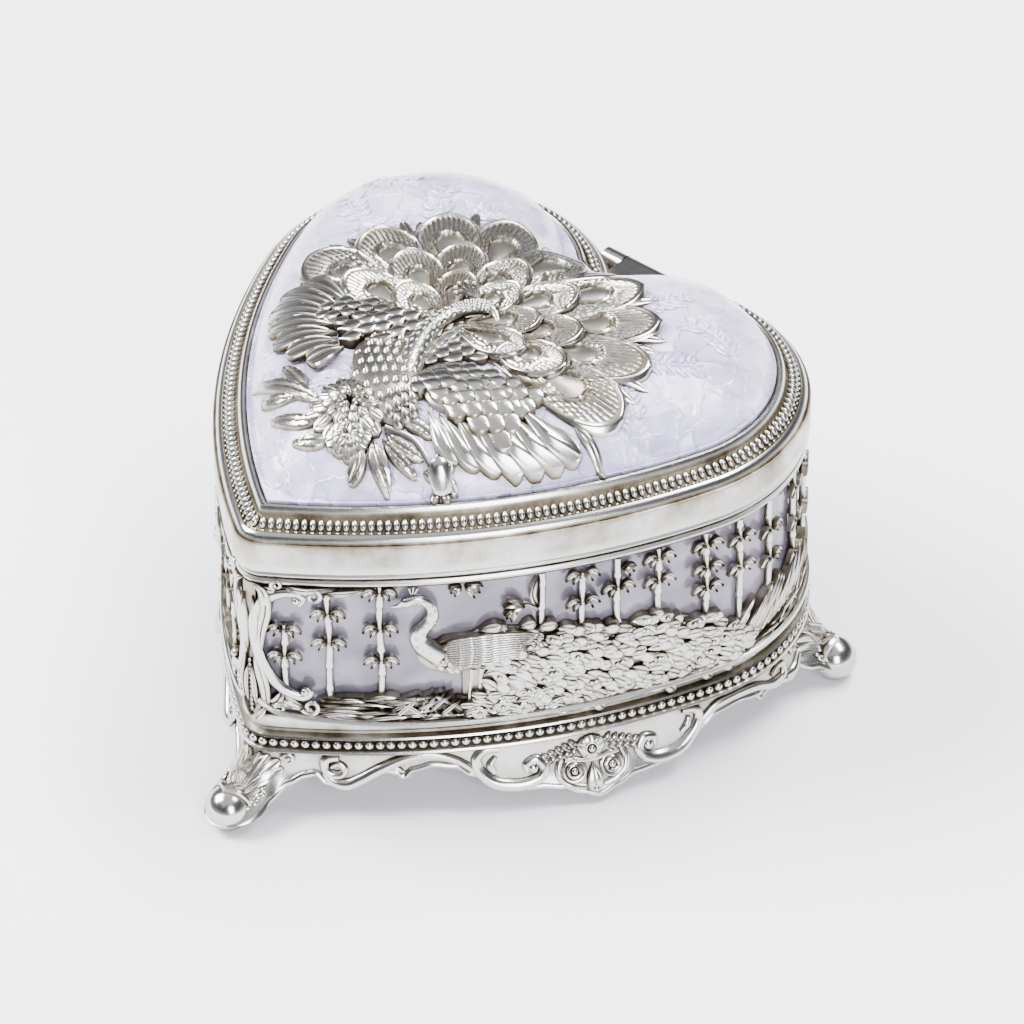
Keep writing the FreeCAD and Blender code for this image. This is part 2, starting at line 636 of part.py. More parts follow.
def screw_slot(x, y, z):
    """The driver slot's space, upwards from z."""
    r, half = SCREW_HEAD_R, SCREW_SLOT_HALF
    return box(x - r, y - half, z, x + r, y + half, z + SCREW_SLOT_DEPTH)


def screw_up(x, y, z, length):
    """A pan-head screw driven upwards, head under z."""
    head = rod(SCREW_HEAD_R, z - SCREW_HEAD_H, z, x, y)
    slot = screw_slot(x, y, z - SCREW_HEAD_H)
    return head.cut(slot).fuse(rod(SCREW_R, z, z + length, x, y)).removeSplitter()


def screw_down(x, y, z, length):
    """A pan-head screw driven downwards, head over z."""
    head = rod(SCREW_HEAD_R, z, z + SCREW_HEAD_H, x, y)
    slot = screw_slot(x, y, z + SCREW_HEAD_H - SCREW_SLOT_DEPTH)
    return head.cut(slot).fuse(rod(SCREW_R, z - length, z, x, y)).removeSplitter()


def plate_screws():
    length = PLATE_THICK + SCREW_BITE
    inner = heart(BASE_INSET + APRON_WALL + FIT_GAP, 0, PART_Z)
    screws = [screw_up(x, y, PLATE_Z, length) for x, y in plate_screw_places()]
    return Part.makeCompound([screw.common(inner) for screw in screws])


def bed_screws():
    length = PLATE_THICK + BED_THICK
    return Part.makeCompound([screw_up(x, y, PLATE_Z, length) for x, y in bed_screw_places()])


# ================================================================ tray
def jewel_tray():
    """Pressed pan that hangs on the body's ledge."""
    outer = LEDGE_INSET + FIT_GAP
    top = RIM_LEDGE_Z + TRAY_WALL
    flange = ring(BODY_INSET + RIM_WALL + FIT_GAP, outer + TRAY_WALL, RIM_LEDGE_Z, top)
    wall = ring(outer, outer + TRAY_WALL, TRAY_Z, top)
    floor = heart(outer, TRAY_Z, TRAY_Z + TRAY_WALL)
    hole = rod(STOP_ROD_R + STOP_HOLE_CLEAR, TRAY_Z - 1, TRAY_Z + 3, STOP_X, STOP_Y)
    return wall.fuse([floor, flange]).cut(hole).removeSplitter()


def tray_lining():
    """Flocked lining inside the pan."""
    inset = LEDGE_INSET + FIT_GAP + TRAY_WALL
    low, high = TRAY_Z + TRAY_WALL, RIM_LEDGE_Z + TRAY_WALL
    pan = heart(inset, low, high).cut(heart(inset + FLOCK_THICK, low + FLOCK_THICK, high + 1))
    return pan.cut(rod(STOP_ROD_R + STOP_HOLE_CLEAR, low - 1, low + 3, STOP_X, STOP_Y))


def rim_rebate():
    """The space that the tray's flange takes out of the body's rim."""
    return heart(BODY_INSET + RIM_WALL, RIM_LEDGE_Z, PART_Z)


# ================================================================ movement: frame
def at_move(shape):
    """From bedplate coordinates to the box."""
    return moved(shape, 0, MOVE_Y)


def bedplate():
    plate = box(-BED_X / 2, -BED_Y / 2, PLATE_TOP, BED_X / 2, BED_Y / 2, BED_TOP)
    corners = [e for e in plate.Edges if abs(e.Vertexes[0].Z - e.Vertexes[1].Z) > BED_THICK / 2]
    plate = plate.makeFillet(BED_CORNER, corners)
    low, high = PLATE_TOP - 1, BED_TOP + 1
    comb_u0, comb_u1 = comb_left() - COMB_BLOCK_MARGIN, comb_right() + COMB_BLOCK_MARGIN
    block = box(comb_u0, comb_root_end(), BED_TOP, comb_u1, comb_root_start(), comb_low())
    posts = [rod(POST_R, BED_TOP, BRIDGE_Z, BARREL_U, v) for v in post_vs()]
    plate = plate.fuse([block] + posts)
    holes = [rod(ARBOR_R + RUNNING, low, high, BARREL_U, AXIS_V)]
    holes += [rod(SCREW_R, low, high, x, y - MOVE_Y) for x, y in bed_screw_places()]
    depth = MOVE_SCREW_BITE + PLAY
    holes += [rod(SCREW_R, BRIDGE_Z - depth, BRIDGE_Z + 1, BARREL_U, v) for v in post_vs()]
    v = comb_screw_v()
    holes += [rod(SCREW_R, comb_low() - depth, comb_low() + 1, x, v) for x in comb_screw_us()]
    holes += [rod_hole for _, rod_hole in bracket_screw_parts()]
    return at_move(plate.cut(holes).removeSplitter())


def post_vs():
    """The bridge's two posts, across the bedplate."""
    return AXIS_V - BRIDGE_REACH, AXIS_V + BRIDGE_REACH


def contrate_left():
    return BARREL_U + BARREL_PITCH_R + CONTRATE_GAP


def cylinder_left():
    return contrate_left() + CONTRATE_DISC + PLAY + BRACKET_THICK + PLAY


def cylinder_right():
    return cylinder_left() + NOTES * NOTE_PITCH


def comb_left():
    return cylinder_left()


def comb_right():
    return cylinder_right()


def comb_tip_v():
    return AXIS_V - CYLINDER_R - PIN_STAND - COMB_TIP_GAP


def comb_root_start():
    return comb_tip_v() - COMB_TOOTH_LENGTH


def comb_root_end():
    return comb_root_start() - COMB_ROOT_LENGTH


def comb_low():
    """Underside of the comb's root."""
    return AXIS_Z + COMB_TOOTH_THICK / 2 - COMB_ROOT_THICK


def comb_screw_v():
    return (comb_root_start() + comb_root_end()) / 2


def comb_screw_us():
    width = comb_right() - comb_left()
    return [comb_left() + width * share for share in COMB_SCREW_SHARES]


def comb():
    """Steel comb: a thick root and one tooth for each note."""
    top = AXIS_Z + COMB_TOOTH_THICK / 2
    root = box(comb_left(), comb_root_end(), comb_low(), comb_right(), comb_root_start(), top)
    pieces = []
    for n in range(NOTES):
        u = comb_left() + n * NOTE_PITCH + COMB_SLOT / 2
        end = u + NOTE_PITCH - COMB_SLOT
        pieces.append(box(u, comb_root_start(), top - COMB_TOOTH_THICK, end, comb_tip_v(), top))
    holes = [rod(SCREW_R, comb_low() - 1, top + 1, x, comb_screw_v()) for x in comb_screw_us()]
    return at_move(root.fuse(pieces).cut(holes).removeSplitter())


def comb_screws():
    top = AXIS_Z + COMB_TOOTH_THICK / 2
    length = COMB_ROOT_THICK + MOVE_SCREW_BITE
    screws = [screw_down(x, comb_screw_v(), top, length) for x in comb_screw_us()]
    return at_move(Part.makeCompound(screws))


def barrel_bridge():
    """Strap over the barrel that carries the arbor's top pivot."""
    half = BRIDGE_REACH + POST_R
    u0, u1 = BARREL_U - BRIDGE_HALF, BARREL_U + BRIDGE_HALF
    low, high = BRIDGE_Z, BRIDGE_Z + BRIDGE_THICK
    strap = box(u0, AXIS_V - half, low, u1, AXIS_V + half, high)
    holes = [rod(PIVOT_R + RUNNING, low - 1, high + 1, BARREL_U, AXIS_V)]
    holes += [rod(SCREW_R, low - 1, high + 1, BARREL_U, v) for v in post_vs()]
    return at_move(strap.cut(holes))


def bridge_screws():
    top = BRIDGE_Z + BRIDGE_THICK
    length = BRIDGE_THICK + MOVE_SCREW_BITE
    return at_move(Part.makeCompound([screw_down(BARREL_U, v, top, length) for v in post_vs()]))


# ================================================================ movement: barrel and key
def toothed_disc(root_r, tip_r, teeth, width, z0, z1, phase=0.0):
    """An upright-axis wheel with plain straight-sided teeth."""
    disc = rod(root_r, z0, z1, 0, 0)
    tooth = box(root_r - 0.6, -width / 2, z0, tip_r, width / 2, z1)
    return disc.fuse([turned(tooth, phase + 360.0 * n / teeth) for n in range(teeth)]).removeSplitter()


def spring_barrel():
    """Drum with a toothed foot; the mainspring lies inside."""
    z0 = BARREL_Z + BARREL_TOOTH_RISE
    z1 = z0 + BARREL_TOOTH_BAND
    root_r = BARREL_PITCH_R - TOOTH_HALF_DEPTH - PLAY / 2
    tip_r = BARREL_PITCH_R + TOOTH_HALF_DEPTH
    phase = 180.0 / BARREL_TEETH
    wheel = toothed_disc(root_r, tip_r, BARREL_TEETH, TRAIN_TOOTH_WIDTH, z0, z1, phase)
    drum = rod(BARREL_R, BARREL_Z, BARREL_Z + BARREL_HEIGHT - BARREL_WALL, 0, 0)
    hollow = rod(BARREL_R - BARREL_WALL, BARREL_Z + BARREL_WALL, BARREL_Z + BARREL_HEIGHT, 0, 0)
    bore = rod(ARBOR_R + RUNNING, BARREL_Z - 1, BARREL_Z + 3, 0, 0)
    shell = wheel.fuse(drum).cut([hollow, bore]).removeSplitter()
    return at_move(moved(shell, BARREL_U, AXIS_V))


def barrel_cover():
    z1 = BARREL_Z + BARREL_HEIGHT
    cover = rod(BARREL_R, z1 - BARREL_WALL, z1, 0, 0).cut(rod(ARBOR_R + RUNNING, z1 - 2, z1 + 1, 0, 0))
    return at_move(moved(cover, BARREL_U, AXIS_V))


def mainspring():
    """Spiral strip, wound loosely between the arbor and the barrel's wall."""
    inner_r, outer_r = ARBOR_R + 0.5, BARREL_R - BARREL_WALL - 0.15
    steps = SPRING_TURNS * 16

    def edge(extra):
        points = []
        for n in range(steps + 1):
            r = inner_r + (outer_r - SPRING_THICK - inner_r) * n / steps + extra
            a = 2 * math.pi * n / 16
            points.append(Vector(r * math.cos(a), r * math.sin(a), 0))
        return points

    near, far = edge(0), edge(SPRING_THICK)
    inner = Part.BSplineCurve()
    inner.interpolate(near)
    outer = Part.BSplineCurve()
    outer.interpolate(far)
    sides = [Part.LineSegment(near[0], far[0]).toShape(), Part.LineSegment(near[-1], far[-1]).toShape()]
    wire = Part.Wire(Part.__sortEdges__([inner.toShape(), outer.toShape()] + sides))
    height = BARREL_HEIGHT - 2 * BARREL_WALL - SPRING_SIDE_GAP
    strip = Part.Face(wire).extrude(Vector(0, 0, height))
    return at_move(moved(strip, BARREL_U, AXIS_V, BARREL_Z + BARREL_WALL))


def winding_arbor():
    """Shaft from the key, through the barrel, to the pivot in the bridge."""
    low = PLATE_Z - ARBOR_STEP
    shaft = rod(ARBOR_R, low, RATCHET_Z, 0, 0)
    square = rod(ARBOR_R - SQUARE_CUT, RATCHET_Z, RATCHET_Z + RATCHET_THICK, 0, 0)
    pivot = rod(PIVOT_R, RATCHET_Z + RATCHET_THICK, BRIDGE_Z + BRIDGE_THICK, 0, 0)
    thread = rod(ARBOR_R - KEY_THREAD_CUT, low - KEY_THREAD_LENGTH, low, 0, 0)
    shaft = shaft.fuse([square, pivot, thread]).removeSplitter()
    return at_move(moved(shaft, BARREL_U, AXIS_V))


def ratchet_wheel():
    """Saw-toothed wheel on the arbor that keeps the spring wound."""
    root_r = RATCHET_R - RATCHET_DEPTH
    points = []
    for n in range(RATCHET_TEETH):
        a = 2 * math.pi * n / RATCHET_TEETH
        b = a + 2 * math.pi / RATCHET_TEETH * RATCHET_LEAN
        points.append(Vector(root_r * math.cos(a), root_r * math.sin(a), RATCHET_Z))
        points.append(Vector(RATCHET_R * math.cos(b), RATCHET_R * math.sin(b), RATCHET_Z))
    wheel = Part.Face(Part.makePolygon(points + points[:1])).extrude(Vector(0, 0, RATCHET_THICK))
    wheel = wheel.cut(rod(ARBOR_R - SQUARE_CUT, RATCHET_Z - 1, RATCHET_Z + 3, 0, 0))
    return at_move(moved(wheel, BARREL_U, AXIS_V))


def click_pawl():
    """Leaf pawl under the bridge, its nose beside the ratchet's teeth."""
    z0, z1 = BRIDGE_Z - RATCHET_THICK - 0.2, BRIDGE_Z
    near = RATCHET_R + 0.15
    foot_pad = box(-2.2, near + 2.0, z0, 2.2, near + 4.6, z1)
    nose = Part.Face(
        Part.makePolygon(
            [
                Vector(2.0, near + 2.2, z0),
                Vector(-0.2, near + 2.2, z0),
                Vector(-0.9, near, z0),
                Vector(0.0, near, z0),
                Vector(2.0, near + 2.2, z0),
            ]
        )
    ).extrude(Vector(0, 0, z1 - z0 - 0.1))
    return at_move(moved(foot_pad.fuse(nose).removeSplitter(), BARREL_U, AXIS_V))


def winding_key():
    """Hub that screws on to the arbor, with a two-lobed wing to turn it by."""
    top = PLATE_Z - KEY_CLEAR
    low = PLATE_Z - KEY_DROP
    hub = rod(KEY_HUB_R, low + 3.0, top, 0, 0)
    lobe_r = KEY_WING_HALF / 2 - 0.4
    middle = low + lobe_r * 0.85
    half, side = KEY_WING_HALF / 2, KEY_WING_THICK / 2
    wing = box(-half, -side, low, half, side, top - 2.4)
    for s in (-1, 1):
        near = Vector(s * (KEY_WING_HALF - lobe_r), -side, middle)
        disc = Part.makeCylinder(lobe_r, KEY_WING_THICK, near, Vector(0, 1, 0))
        eye = Part.makeCylinder(lobe_r - KEY_RING, KEY_WING_THICK, near, Vector(0, 1, 0))
        wing = wing.fuse(disc).cut(eye)
    trim = box(-KEY_WING_HALF, -KEY_WING_HALF, 0, KEY_WING_HALF, KEY_WING_HALF, low)
    shoulder = PLATE_Z - ARBOR_STEP
    bore = rod(ARBOR_R - KEY_THREAD_CUT, shoulder - KEY_THREAD_LENGTH, top + 1, 0, 0)
    socket = rod(ARBOR_R, shoulder, top + 1, 0, 0)
    key = hub.fuse(wing).cut([trim, bore, socket]).removeSplitter()
    return at_move(moved(key, BARREL_U, AXIS_V))


# ================================================================ movement: cylinder
def bracket_u(side):
    """Left face of a cylinder bracket."""
    if side == "left":
        return cylinder_left() - PLAY - BRACKET_THICK
    return cylinder_right() + SPUR_FACE + PLAY


def bracket_screw_parts():
    """(screw, hole) for each cylinder bracket's foot."""
    parts = []
    for side in ("left", "right"):
        u = bracket_u(side) + BRACKET_THICK / 2
        v = AXIS_V - BRACKET_FOOT
        length = BRACKET_PAD + BED_THICK - 0.4
        top = BED_TOP + BRACKET_PAD
        parts.append((screw_down(u, v, top, length), rod(SCREW_R, top - length, top + 1, u, v)))
    return parts


def cylinder_bracket(side):
    """Upright bearing plate with a screwed foot."""
    u0 = bracket_u(side)
    u1 = u0 + BRACKET_THICK
    v0, v1 = AXIS_V - BRACKET_HALF, AXIS_V + BRACKET_HALF
    plate = box(u0, v0, BED_TOP, u1, v1, AXIS_Z).fuse(rod_x(BRACKET_HALF, u0, u1, AXIS_V, AXIS_Z))
    pad_half = SCREW_HEAD_R + 0.2
    middle = (u0 + u1) / 2
    foot_v = AXIS_V - BRACKET_FOOT
    pad = box(u0, foot_v, BED_TOP, u1, v0, BED_TOP + BRACKET_PAD)
    pad = pad.fuse(rod(pad_half, BED_TOP, BED_TOP + BRACKET_PAD, middle, foot_v))
    bore = rod_x(AXLE_R + RUNNING, u0 - 1, u1 + 1, AXIS_V, AXIS_Z)
    hole = rod(SCREW_R, BED_TOP - 1, BED_TOP + 3, middle, foot_v)
    return at_move(plate.fuse(pad).cut([bore, hole]).removeSplitter())


def bracket_screws():
    return at_move(Part.makeCompound([screw for screw, _ in bracket_screw_parts()]))


def cylinder_axle():
    return at_move(rod_x(AXLE_R, contrate_left(), bracket_u("right") + BRACKET_THICK, AXIS_V, AXIS_Z))


def upright_to_x(shape):
    """Turns a wheel made about Z so that it is about X; its Z becomes X."""
    copy = shape.copy()
    copy.rotate(Vector(0, 0, 0), Vector(0, 1, 0), 90)
    return copy


def contrate_wheel():
    """Disc whose teeth stand out sideways into the barrel's teeth."""
    depth = CONTRATE_GAP + TOOTH_HALF_DEPTH - MESH_CLEAR
    half = TRAIN_TOOTH_WIDTH / 2
    disc = rod(CONTRATE_R + 0.6, 0, CONTRATE_DISC, 0, 0)
    tooth = box(CONTRATE_R - 0.5, -half, -depth, CONTRATE_R + 0.5, half, 0.3)
    wheel = disc.fuse([turned(tooth, 360.0 * n / CONTRATE_TEETH) for n in range(CONTRATE_TEETH)])
    wheel = wheel.cut(rod(AXLE_R, -3, 3, 0, 0)).removeSplitter()
    return at_move(moved(upright_to_x(wheel), contrate_left(), AXIS_V, AXIS_Z))


def note_cylinder():
    tube = rod_x(CYLINDER_R, cylinder_left(), cylinder_right(), AXIS_V, AXIS_Z)
    bore = rod_x(AXLE_R, cylinder_left() - 1, cylinder_right() + 1, AXIS_V, AXIS_Z)
    return at_move(tube.cut(bore))


def cylinder_pins():
    """The tune: short pins pressed into the cylinder, a few for each note."""
    pins = []
    for note in range(NOTES):
        u = cylinder_left() + (note + 0.5) * NOTE_PITCH
        for n in range(PINS_A_NOTE):
            shuffle = TUNE_SHUFFLE * ((note * n) % PINS_A_NOTE)
            angle = 360.0 / PINS_A_NOTE * n + TUNE_STEP * note + shuffle
            pin = rod(PIN_R, CYLINDER_R - PIN_ROOT, CYLINDER_R + PIN_STAND, 0, 0)
            pin = turned(pin, angle, axis=Vector(1, 0, 0))
            pins.append(moved(pin, u, AXIS_V, AXIS_Z))
    return at_move(Part.makeCompound(pins))


def spur_wheel(teeth, thick, bore, phase=0.0):
    """Straight-sided spur wheel about Z; slim teeth leave free play in mesh."""
    r = SPUR_MODULE * teeth / 2
    width = math.pi * SPUR_MODULE * SPUR_TOOTH_SHARE
    wheel = toothed_disc(r - SPUR_ROOT, r + SPUR_TIP, teeth, width, 0, thick, phase)
    return wheel.cut(rod(bore, -1, thick + 1, 0, 0))


def end_gear():
    wheel = spur_wheel(END_GEAR_TEETH, SPUR_FACE, AXLE_R, mesh_phase(END_GEAR_TEETH, False))
    return at_move(moved(upright_to_x(wheel), cylinder_right(), AXIS_V, AXIS_Z))


# ================================================================ movement: governor
def mesh_phase(teeth, gap):
    """Turn that points a tooth, or the middle of a gap, along the line of the two shafts."""
    return GOVERNOR_RISE - 90.0 + (180.0 / teeth if gap else 0.0)


def governor_v():
    return AXIS_V + train_distance() * math.cos(math.radians(GOVERNOR_RISE))


def governor_z():
    return AXIS_Z + train_distance() * math.sin(math.radians(GOVERNOR_RISE))


def train_distance():
    return SPUR_MODULE * (END_GEAR_TEETH + PINION_TEETH) / 2 + MESH_CLEAR


def worm_wheel_u():
    return cylinder_right() + SPUR_FACE + PLAY + BRACKET_THICK + PLAY + 0.8


def worm_wheel_r():
    return SPUR_MODULE * WORM_WHEEL_TEETH / 2


def worm_v():
    return governor_v() + worm_wheel_r() + WORM_R + MESH_CLEAR


def governor_plates():
    """Left faces of the two governor side plates, along the bedplate."""
    return cylinder_right() - 2.6, worm_wheel_u() + WORM_WHEEL_THICK + 2.2


def governor_bracket():
    """U-shaped frame: two side plates, a floor, and an arm over the worm."""
    u0, u1 = governor_plates()
    v0, v1 = AXIS_V + CYLINDER_R + PIN_STAND + 0.4, BED_Y / 2 - 0.6
    top = governor_z() + 2.2
    plate_a = box(u0, v0, BED_TOP, u0 + GOVERNOR_PLATE, v1, top)
    plate_b = box(u1, v0 + 1.0, BED_TOP, u1 + GOVERNOR_PLATE, v1, top)
    floor = box(u0, v0 + 5.6, BED_TOP, u1 + GOVERNOR_PLATE, v1, BED_TOP + 1.0)
    column = box(u0, worm_v() - 1.6, BED_TOP, u0 + GOVERNOR_PLATE, v1, MOVEMENT_TOP)
    arm = box(u0, worm_v() - 1.6, MOVEMENT_TOP - 1.0, worm_wheel_u() + 2.2, v1, MOVEMENT_TOP)
    bracket = plate_a.fuse([plate_b, floor, column, arm])
    shaft = rod_x(GOVERNOR_SHAFT_R + RUNNING, u0 - 1, u1 + 3, governor_v(), governor_z())
    bore = GOVERNOR_SHAFT_R + RUNNING
    pivots = rod(bore, BED_TOP + 0.5, MOVEMENT_TOP - 0.4, worm_wheel_u(), worm_v())
    return at_move(bracket.cut([shaft, pivots]).removeSplitter())


def governor_shaft():
    u0, u1 = governor_plates()
    return at_move(rod_x(GOVERNOR_SHAFT_R, u0, u1 + GOVERNOR_PLATE, governor_v(), governor_z()))


def governor_pinion():
    wheel = spur_wheel(PINION_TEETH, SPUR_FACE, GOVERNOR_SHAFT_R, mesh_phase(PINION_TEETH, True))
    return at_move(moved(upright_to_x(wheel), cylinder_right(), governor_v(), governor_z()))


def worm_wheel():
    """Thin wheel that drives the worm."""
    r = worm_wheel_r()
    root_r, tip_r = r - SPUR_ROOT, r + WHEEL_TOOTH_TIP
    width = math.pi * SPUR_MODULE * WORM_TOOTH_SHARE
    wheel = toothed_disc(root_r, tip_r, WORM_WHEEL_TEETH, width, 0, WORM_WHEEL_THICK, 90.0)
    wheel = wheel.cut(rod(GOVERNOR_SHAFT_R, -1, WORM_WHEEL_THICK + 1, 0, 0))
    left = worm_wheel_u() - WORM_WHEEL_THICK / 2
    return at_move(moved(upright_to_x(wheel), left, governor_v(), governor_z()))


def worm_shaft():
    """Upright endless screw with fine pivots."""
    pitch = math.pi * SPUR_MODULE
    low = governor_z() - WORM_LENGTH / 2
    core = rod(WORM_ROOT_R, low, low + WORM_LENGTH, 0, 0)
    spindle = rod(GOVERNOR_SHAFT_R, BED_TOP + 0.6, MOVEMENT_TOP - 0.5, 0, 0)
    turns = int((WORM_LENGTH - 1.0) / pitch)
    start = governor_z() - turns * pitch / 2
    helix = Part.makeHelix(pitch, turns * pitch, WORM_ROOT_R + 0.15)
    r0, r1 = WORM_ROOT_R - 0.1, WORM_R + 0.3
    half = WORM_THREAD_WIDTH / 2
    tip = half * THREAD_TAPER
    corners = [Vector(r0, 0, -half), Vector(r1, 0, -tip), Vector(r1, 0, tip), Vector(r0, 0, half)]
    section = Part.makePolygon(corners + corners[:1])
    thread = Part.Wire(helix).makePipeShell([section], True, True)
    thread = moved(turned(thread, WORM_PHASE), 0, 0, start)
    worm = core.fuse([thread, spindle])
    return at_move(moved(worm, worm_wheel_u(), worm_v()))


def fan_z():
    """Underside of the fan, just over the worm wheel's teeth."""
    return governor_z() + worm_wheel_r() + WHEEL_TOOTH_TIP + FAN_CLEAR


def air_fan():
    """Two-bladed air brake on the worm shaft."""
    z0 = fan_z()
    hub = rod(FAN_HUB_R, z0, z0 + FAN_HEIGHT, 0, 0)
    blades = box(-FAN_R, -FAN_THICK / 2, z0, FAN_R, FAN_THICK / 2, z0 + FAN_HEIGHT)
    fan = hub.fuse(blades).cut(rod(GOVERNOR_SHAFT_R, z0 - 1, z0 + 5, 0, 0)).removeSplitter()
    return at_move(moved(fan, worm_wheel_u(), worm_v()))


# ================================================================ stop rod
def stop_rod():
    """Rod that the closed lid holds down; its arm's tip sits beside the fan."""
    top = PART_Z + LID_PAD_RISE - STOP_ROD_GAP
    arm_z = fan_z() + FAN_HEIGHT / 2
    fan_x, fan_y = worm_wheel_u(), MOVE_Y + worm_v()
    dx, dy = fan_x - STOP_X, fan_y - STOP_Y
    reach = math.hypot(dx, dy) - FAN_R - STOP_GAP
    upright = rod(STOP_ROD_R, PLATE_TOP + STOP_ROD_FOOT, top, STOP_X, STOP_Y)
    root = Vector(STOP_X, STOP_Y, arm_z)
    arm = Part.makeCylinder(STOP_ARM_R, reach, root, Vector(dx, dy, 0))
    return upright.fuse(arm).removeSplitter()


def stop_guide():
    """Tube on the bottom plate that the stop rod slides in."""
    top = PLATE_TOP + STOP_GUIDE_HEIGHT
    tube = rod(STOP_ROD_R + STOP_GUIDE_WALL, PLATE_TOP, top, STOP_X, STOP_Y)
    return tube.cut(rod(STOP_ROD_R + RUNNING, PLATE_TOP + 1.0, top + 1, STOP_X, STOP_Y))


# ================================================================ everything
def parts():
    """Every sub-part by name, before the shift to the origin."""
    frame = body_frame().cut(rim_rebate())
    scene = side_scene()
    liner = side_liner()
    made = {
        "lid_shell": lid_shell(),
        "lid_enamel": lid_enamel(),
        "peacock_ornament": peacock_ornament(),
        "flower_spray": flower_spray(),
        "lid_pad": lid_pad(),
        "hinge_leaf_lid": hinge_leaf_lid(),
        "hinge_leaf_body": hinge_leaf_body(),
        "hinge_pin": hinge_pin(),
        "body_frame": frame,
        "right_liner": liner,
        "left_liner": mirrored(liner),
        "right_scene": scene,
        "left_scene": mirrored(scene),
        "base_frame": base_frame(),
        "foot_screws": foot_screws(),
        "base_plate": base_plate(),
        "plate_screws": plate_screws(),
        "bed_screws": bed_screws(),
        "jewel_tray": jewel_tray(),
        "tray_lining": tray_lining(),
        "bedplate": bedplate(),
        "comb": comb(),
        "comb_screws": comb_screws(),
        "barrel_bridge": barrel_bridge(),
        "bridge_screws": bridge_screws(),
        "spring_barrel": spring_barrel(),
        "barrel_cover": barrel_cover(),
        "mainspring": mainspring(),
        "winding_arbor": winding_arbor(),
        "ratchet_wheel": ratchet_wheel(),
        "click_pawl": click_pawl(),
        "winding_key": winding_key(),
        "left_bracket": cylinder_bracket("left"),
        "right_bracket": cylinder_bracket("right"),
        "bracket_screws": bracket_screws(),
        "cylinder_axle": cylinder_axle(),
        "contrate_wheel": contrate_wheel(),
        "note_cylinder": note_cylinder(),
        "cylinder_pins": cylinder_pins(),
        "end_gear": end_gear(),
        "governor_bracket": governor_bracket(),
        "governor_shaft": governor_shaft(),
        "governor_pinion": governor_pinion(),
        "worm_wheel": worm_wheel(),
        "worm_shaft": worm_shaft(),
        "air_fan": air_fan(),
        "stop_rod": stop_rod(),
        "stop_guide": stop_guide(),
    }
    for name in foot_places():
        made[name] = foot(name)
    return made


def main():
    os.makedirs("parts", exist_ok=True)
    for name, shape in parts().items():
        shape.translate(Vector(0, SHIFT_Y, 0))
        shape.exportStep(f"parts/{name}.step")
        solids = shape.Solids
        state = "ok" if solids and all(s.isValid() and s.Volume > 0 for s in solids) else "BAD"
        print(f"{name:18s} {len(solids):3d} solids {shape.Volume:10.1f} mm3 {state}")
    print(f"origin shift {SHIFT_Y:.3f}; lobe radius {LOBE_R:.3f} at x {LOBE_X:.3f}")
    print(f"hinge axis y {HINGE_Y + SHIFT_Y:.3f} z {PART_Z}; cylinder axis z {AXIS_Z:.3f}")


main()
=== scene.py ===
"""Looks of a heart-shaped, silver-plated wind-up music box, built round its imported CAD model."""

import json
import math

import bmesh
import bpy
import numpy as np
from mathutils import Matrix, Vector


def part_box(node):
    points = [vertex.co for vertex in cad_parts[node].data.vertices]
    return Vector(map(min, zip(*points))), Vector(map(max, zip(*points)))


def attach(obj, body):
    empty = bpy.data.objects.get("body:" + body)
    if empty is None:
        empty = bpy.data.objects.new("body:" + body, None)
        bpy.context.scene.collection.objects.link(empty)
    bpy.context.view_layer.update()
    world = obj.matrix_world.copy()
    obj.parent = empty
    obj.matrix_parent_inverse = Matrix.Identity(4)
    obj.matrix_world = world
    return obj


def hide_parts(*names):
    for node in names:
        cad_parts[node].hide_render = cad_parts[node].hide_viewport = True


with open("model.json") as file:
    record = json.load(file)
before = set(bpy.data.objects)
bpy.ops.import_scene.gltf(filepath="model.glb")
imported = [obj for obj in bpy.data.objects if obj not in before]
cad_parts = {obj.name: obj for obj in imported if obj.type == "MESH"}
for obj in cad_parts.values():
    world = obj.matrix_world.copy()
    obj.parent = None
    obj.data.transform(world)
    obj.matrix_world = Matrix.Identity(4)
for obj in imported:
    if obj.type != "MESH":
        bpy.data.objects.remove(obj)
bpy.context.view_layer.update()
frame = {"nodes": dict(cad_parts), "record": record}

bl_info = {
    "name": "Heart music box",
    "version": (1, 0, 0),
    "blender": (4, 5, 0),
    "location": "View3D > Sidebar > Music Box",
    "description": "Builds the cast relief, enamel, velvet and studio round the music box frame",
    "category": "Add Mesh",
}

MM = 0.001
LID_LOW, LID_HIGH = (np.array(corner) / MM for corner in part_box("lid_shell"))

# ------------------------------------------------------------------ the heart outline, millimetres
HALF_WIDTH = float(LID_HIGH[0])
CLEFT_DEPTH = 8.7
HEART_LENGTH = 97.4
SIDE_R = 116.4
TIP_R = 5.0
CLEFT_R = 2.2
SMALLEST_ROUND = 0.6
LOBE_R = HALF_WIDTH + CLEFT_DEPTH - math.sqrt(2 * HALF_WIDTH * CLEFT_DEPTH)
LOBE_X = HALF_WIDTH - LOBE_R
SHIFT_Y = float(LID_HIGH[1]) - LOBE_R


def circles_cross(a, ra, b, rb):
    """Both points at distance ra from a and rb from b."""
    dx, dy = b[0] - a[0], b[1] - a[1]
    gap = math.hypot(dx, dy)
    along = (ra * ra - rb * rb + gap * gap) / (2 * gap)
    across = math.sqrt(ra * ra - along * along)
    mx, my = a[0] + along * dx / gap, a[1] + along * dy / gap
    return (mx - across * dy / gap, my + across * dx / gap), (mx + across * dy / gap, my - across * dx / gap)


SHARP_TIP_Y = LOBE_R - HEART_LENGTH
SIDE_X, SIDE_Y = min(circles_cross((LOBE_X, 0), SIDE_R - LOBE_R, (0, SHARP_TIP_Y), SIDE_R))
SIDE_END = math.atan2(-SIDE_Y, LOBE_X - SIDE_X)
ARC_STEPS = (9, 64, 84, 9)

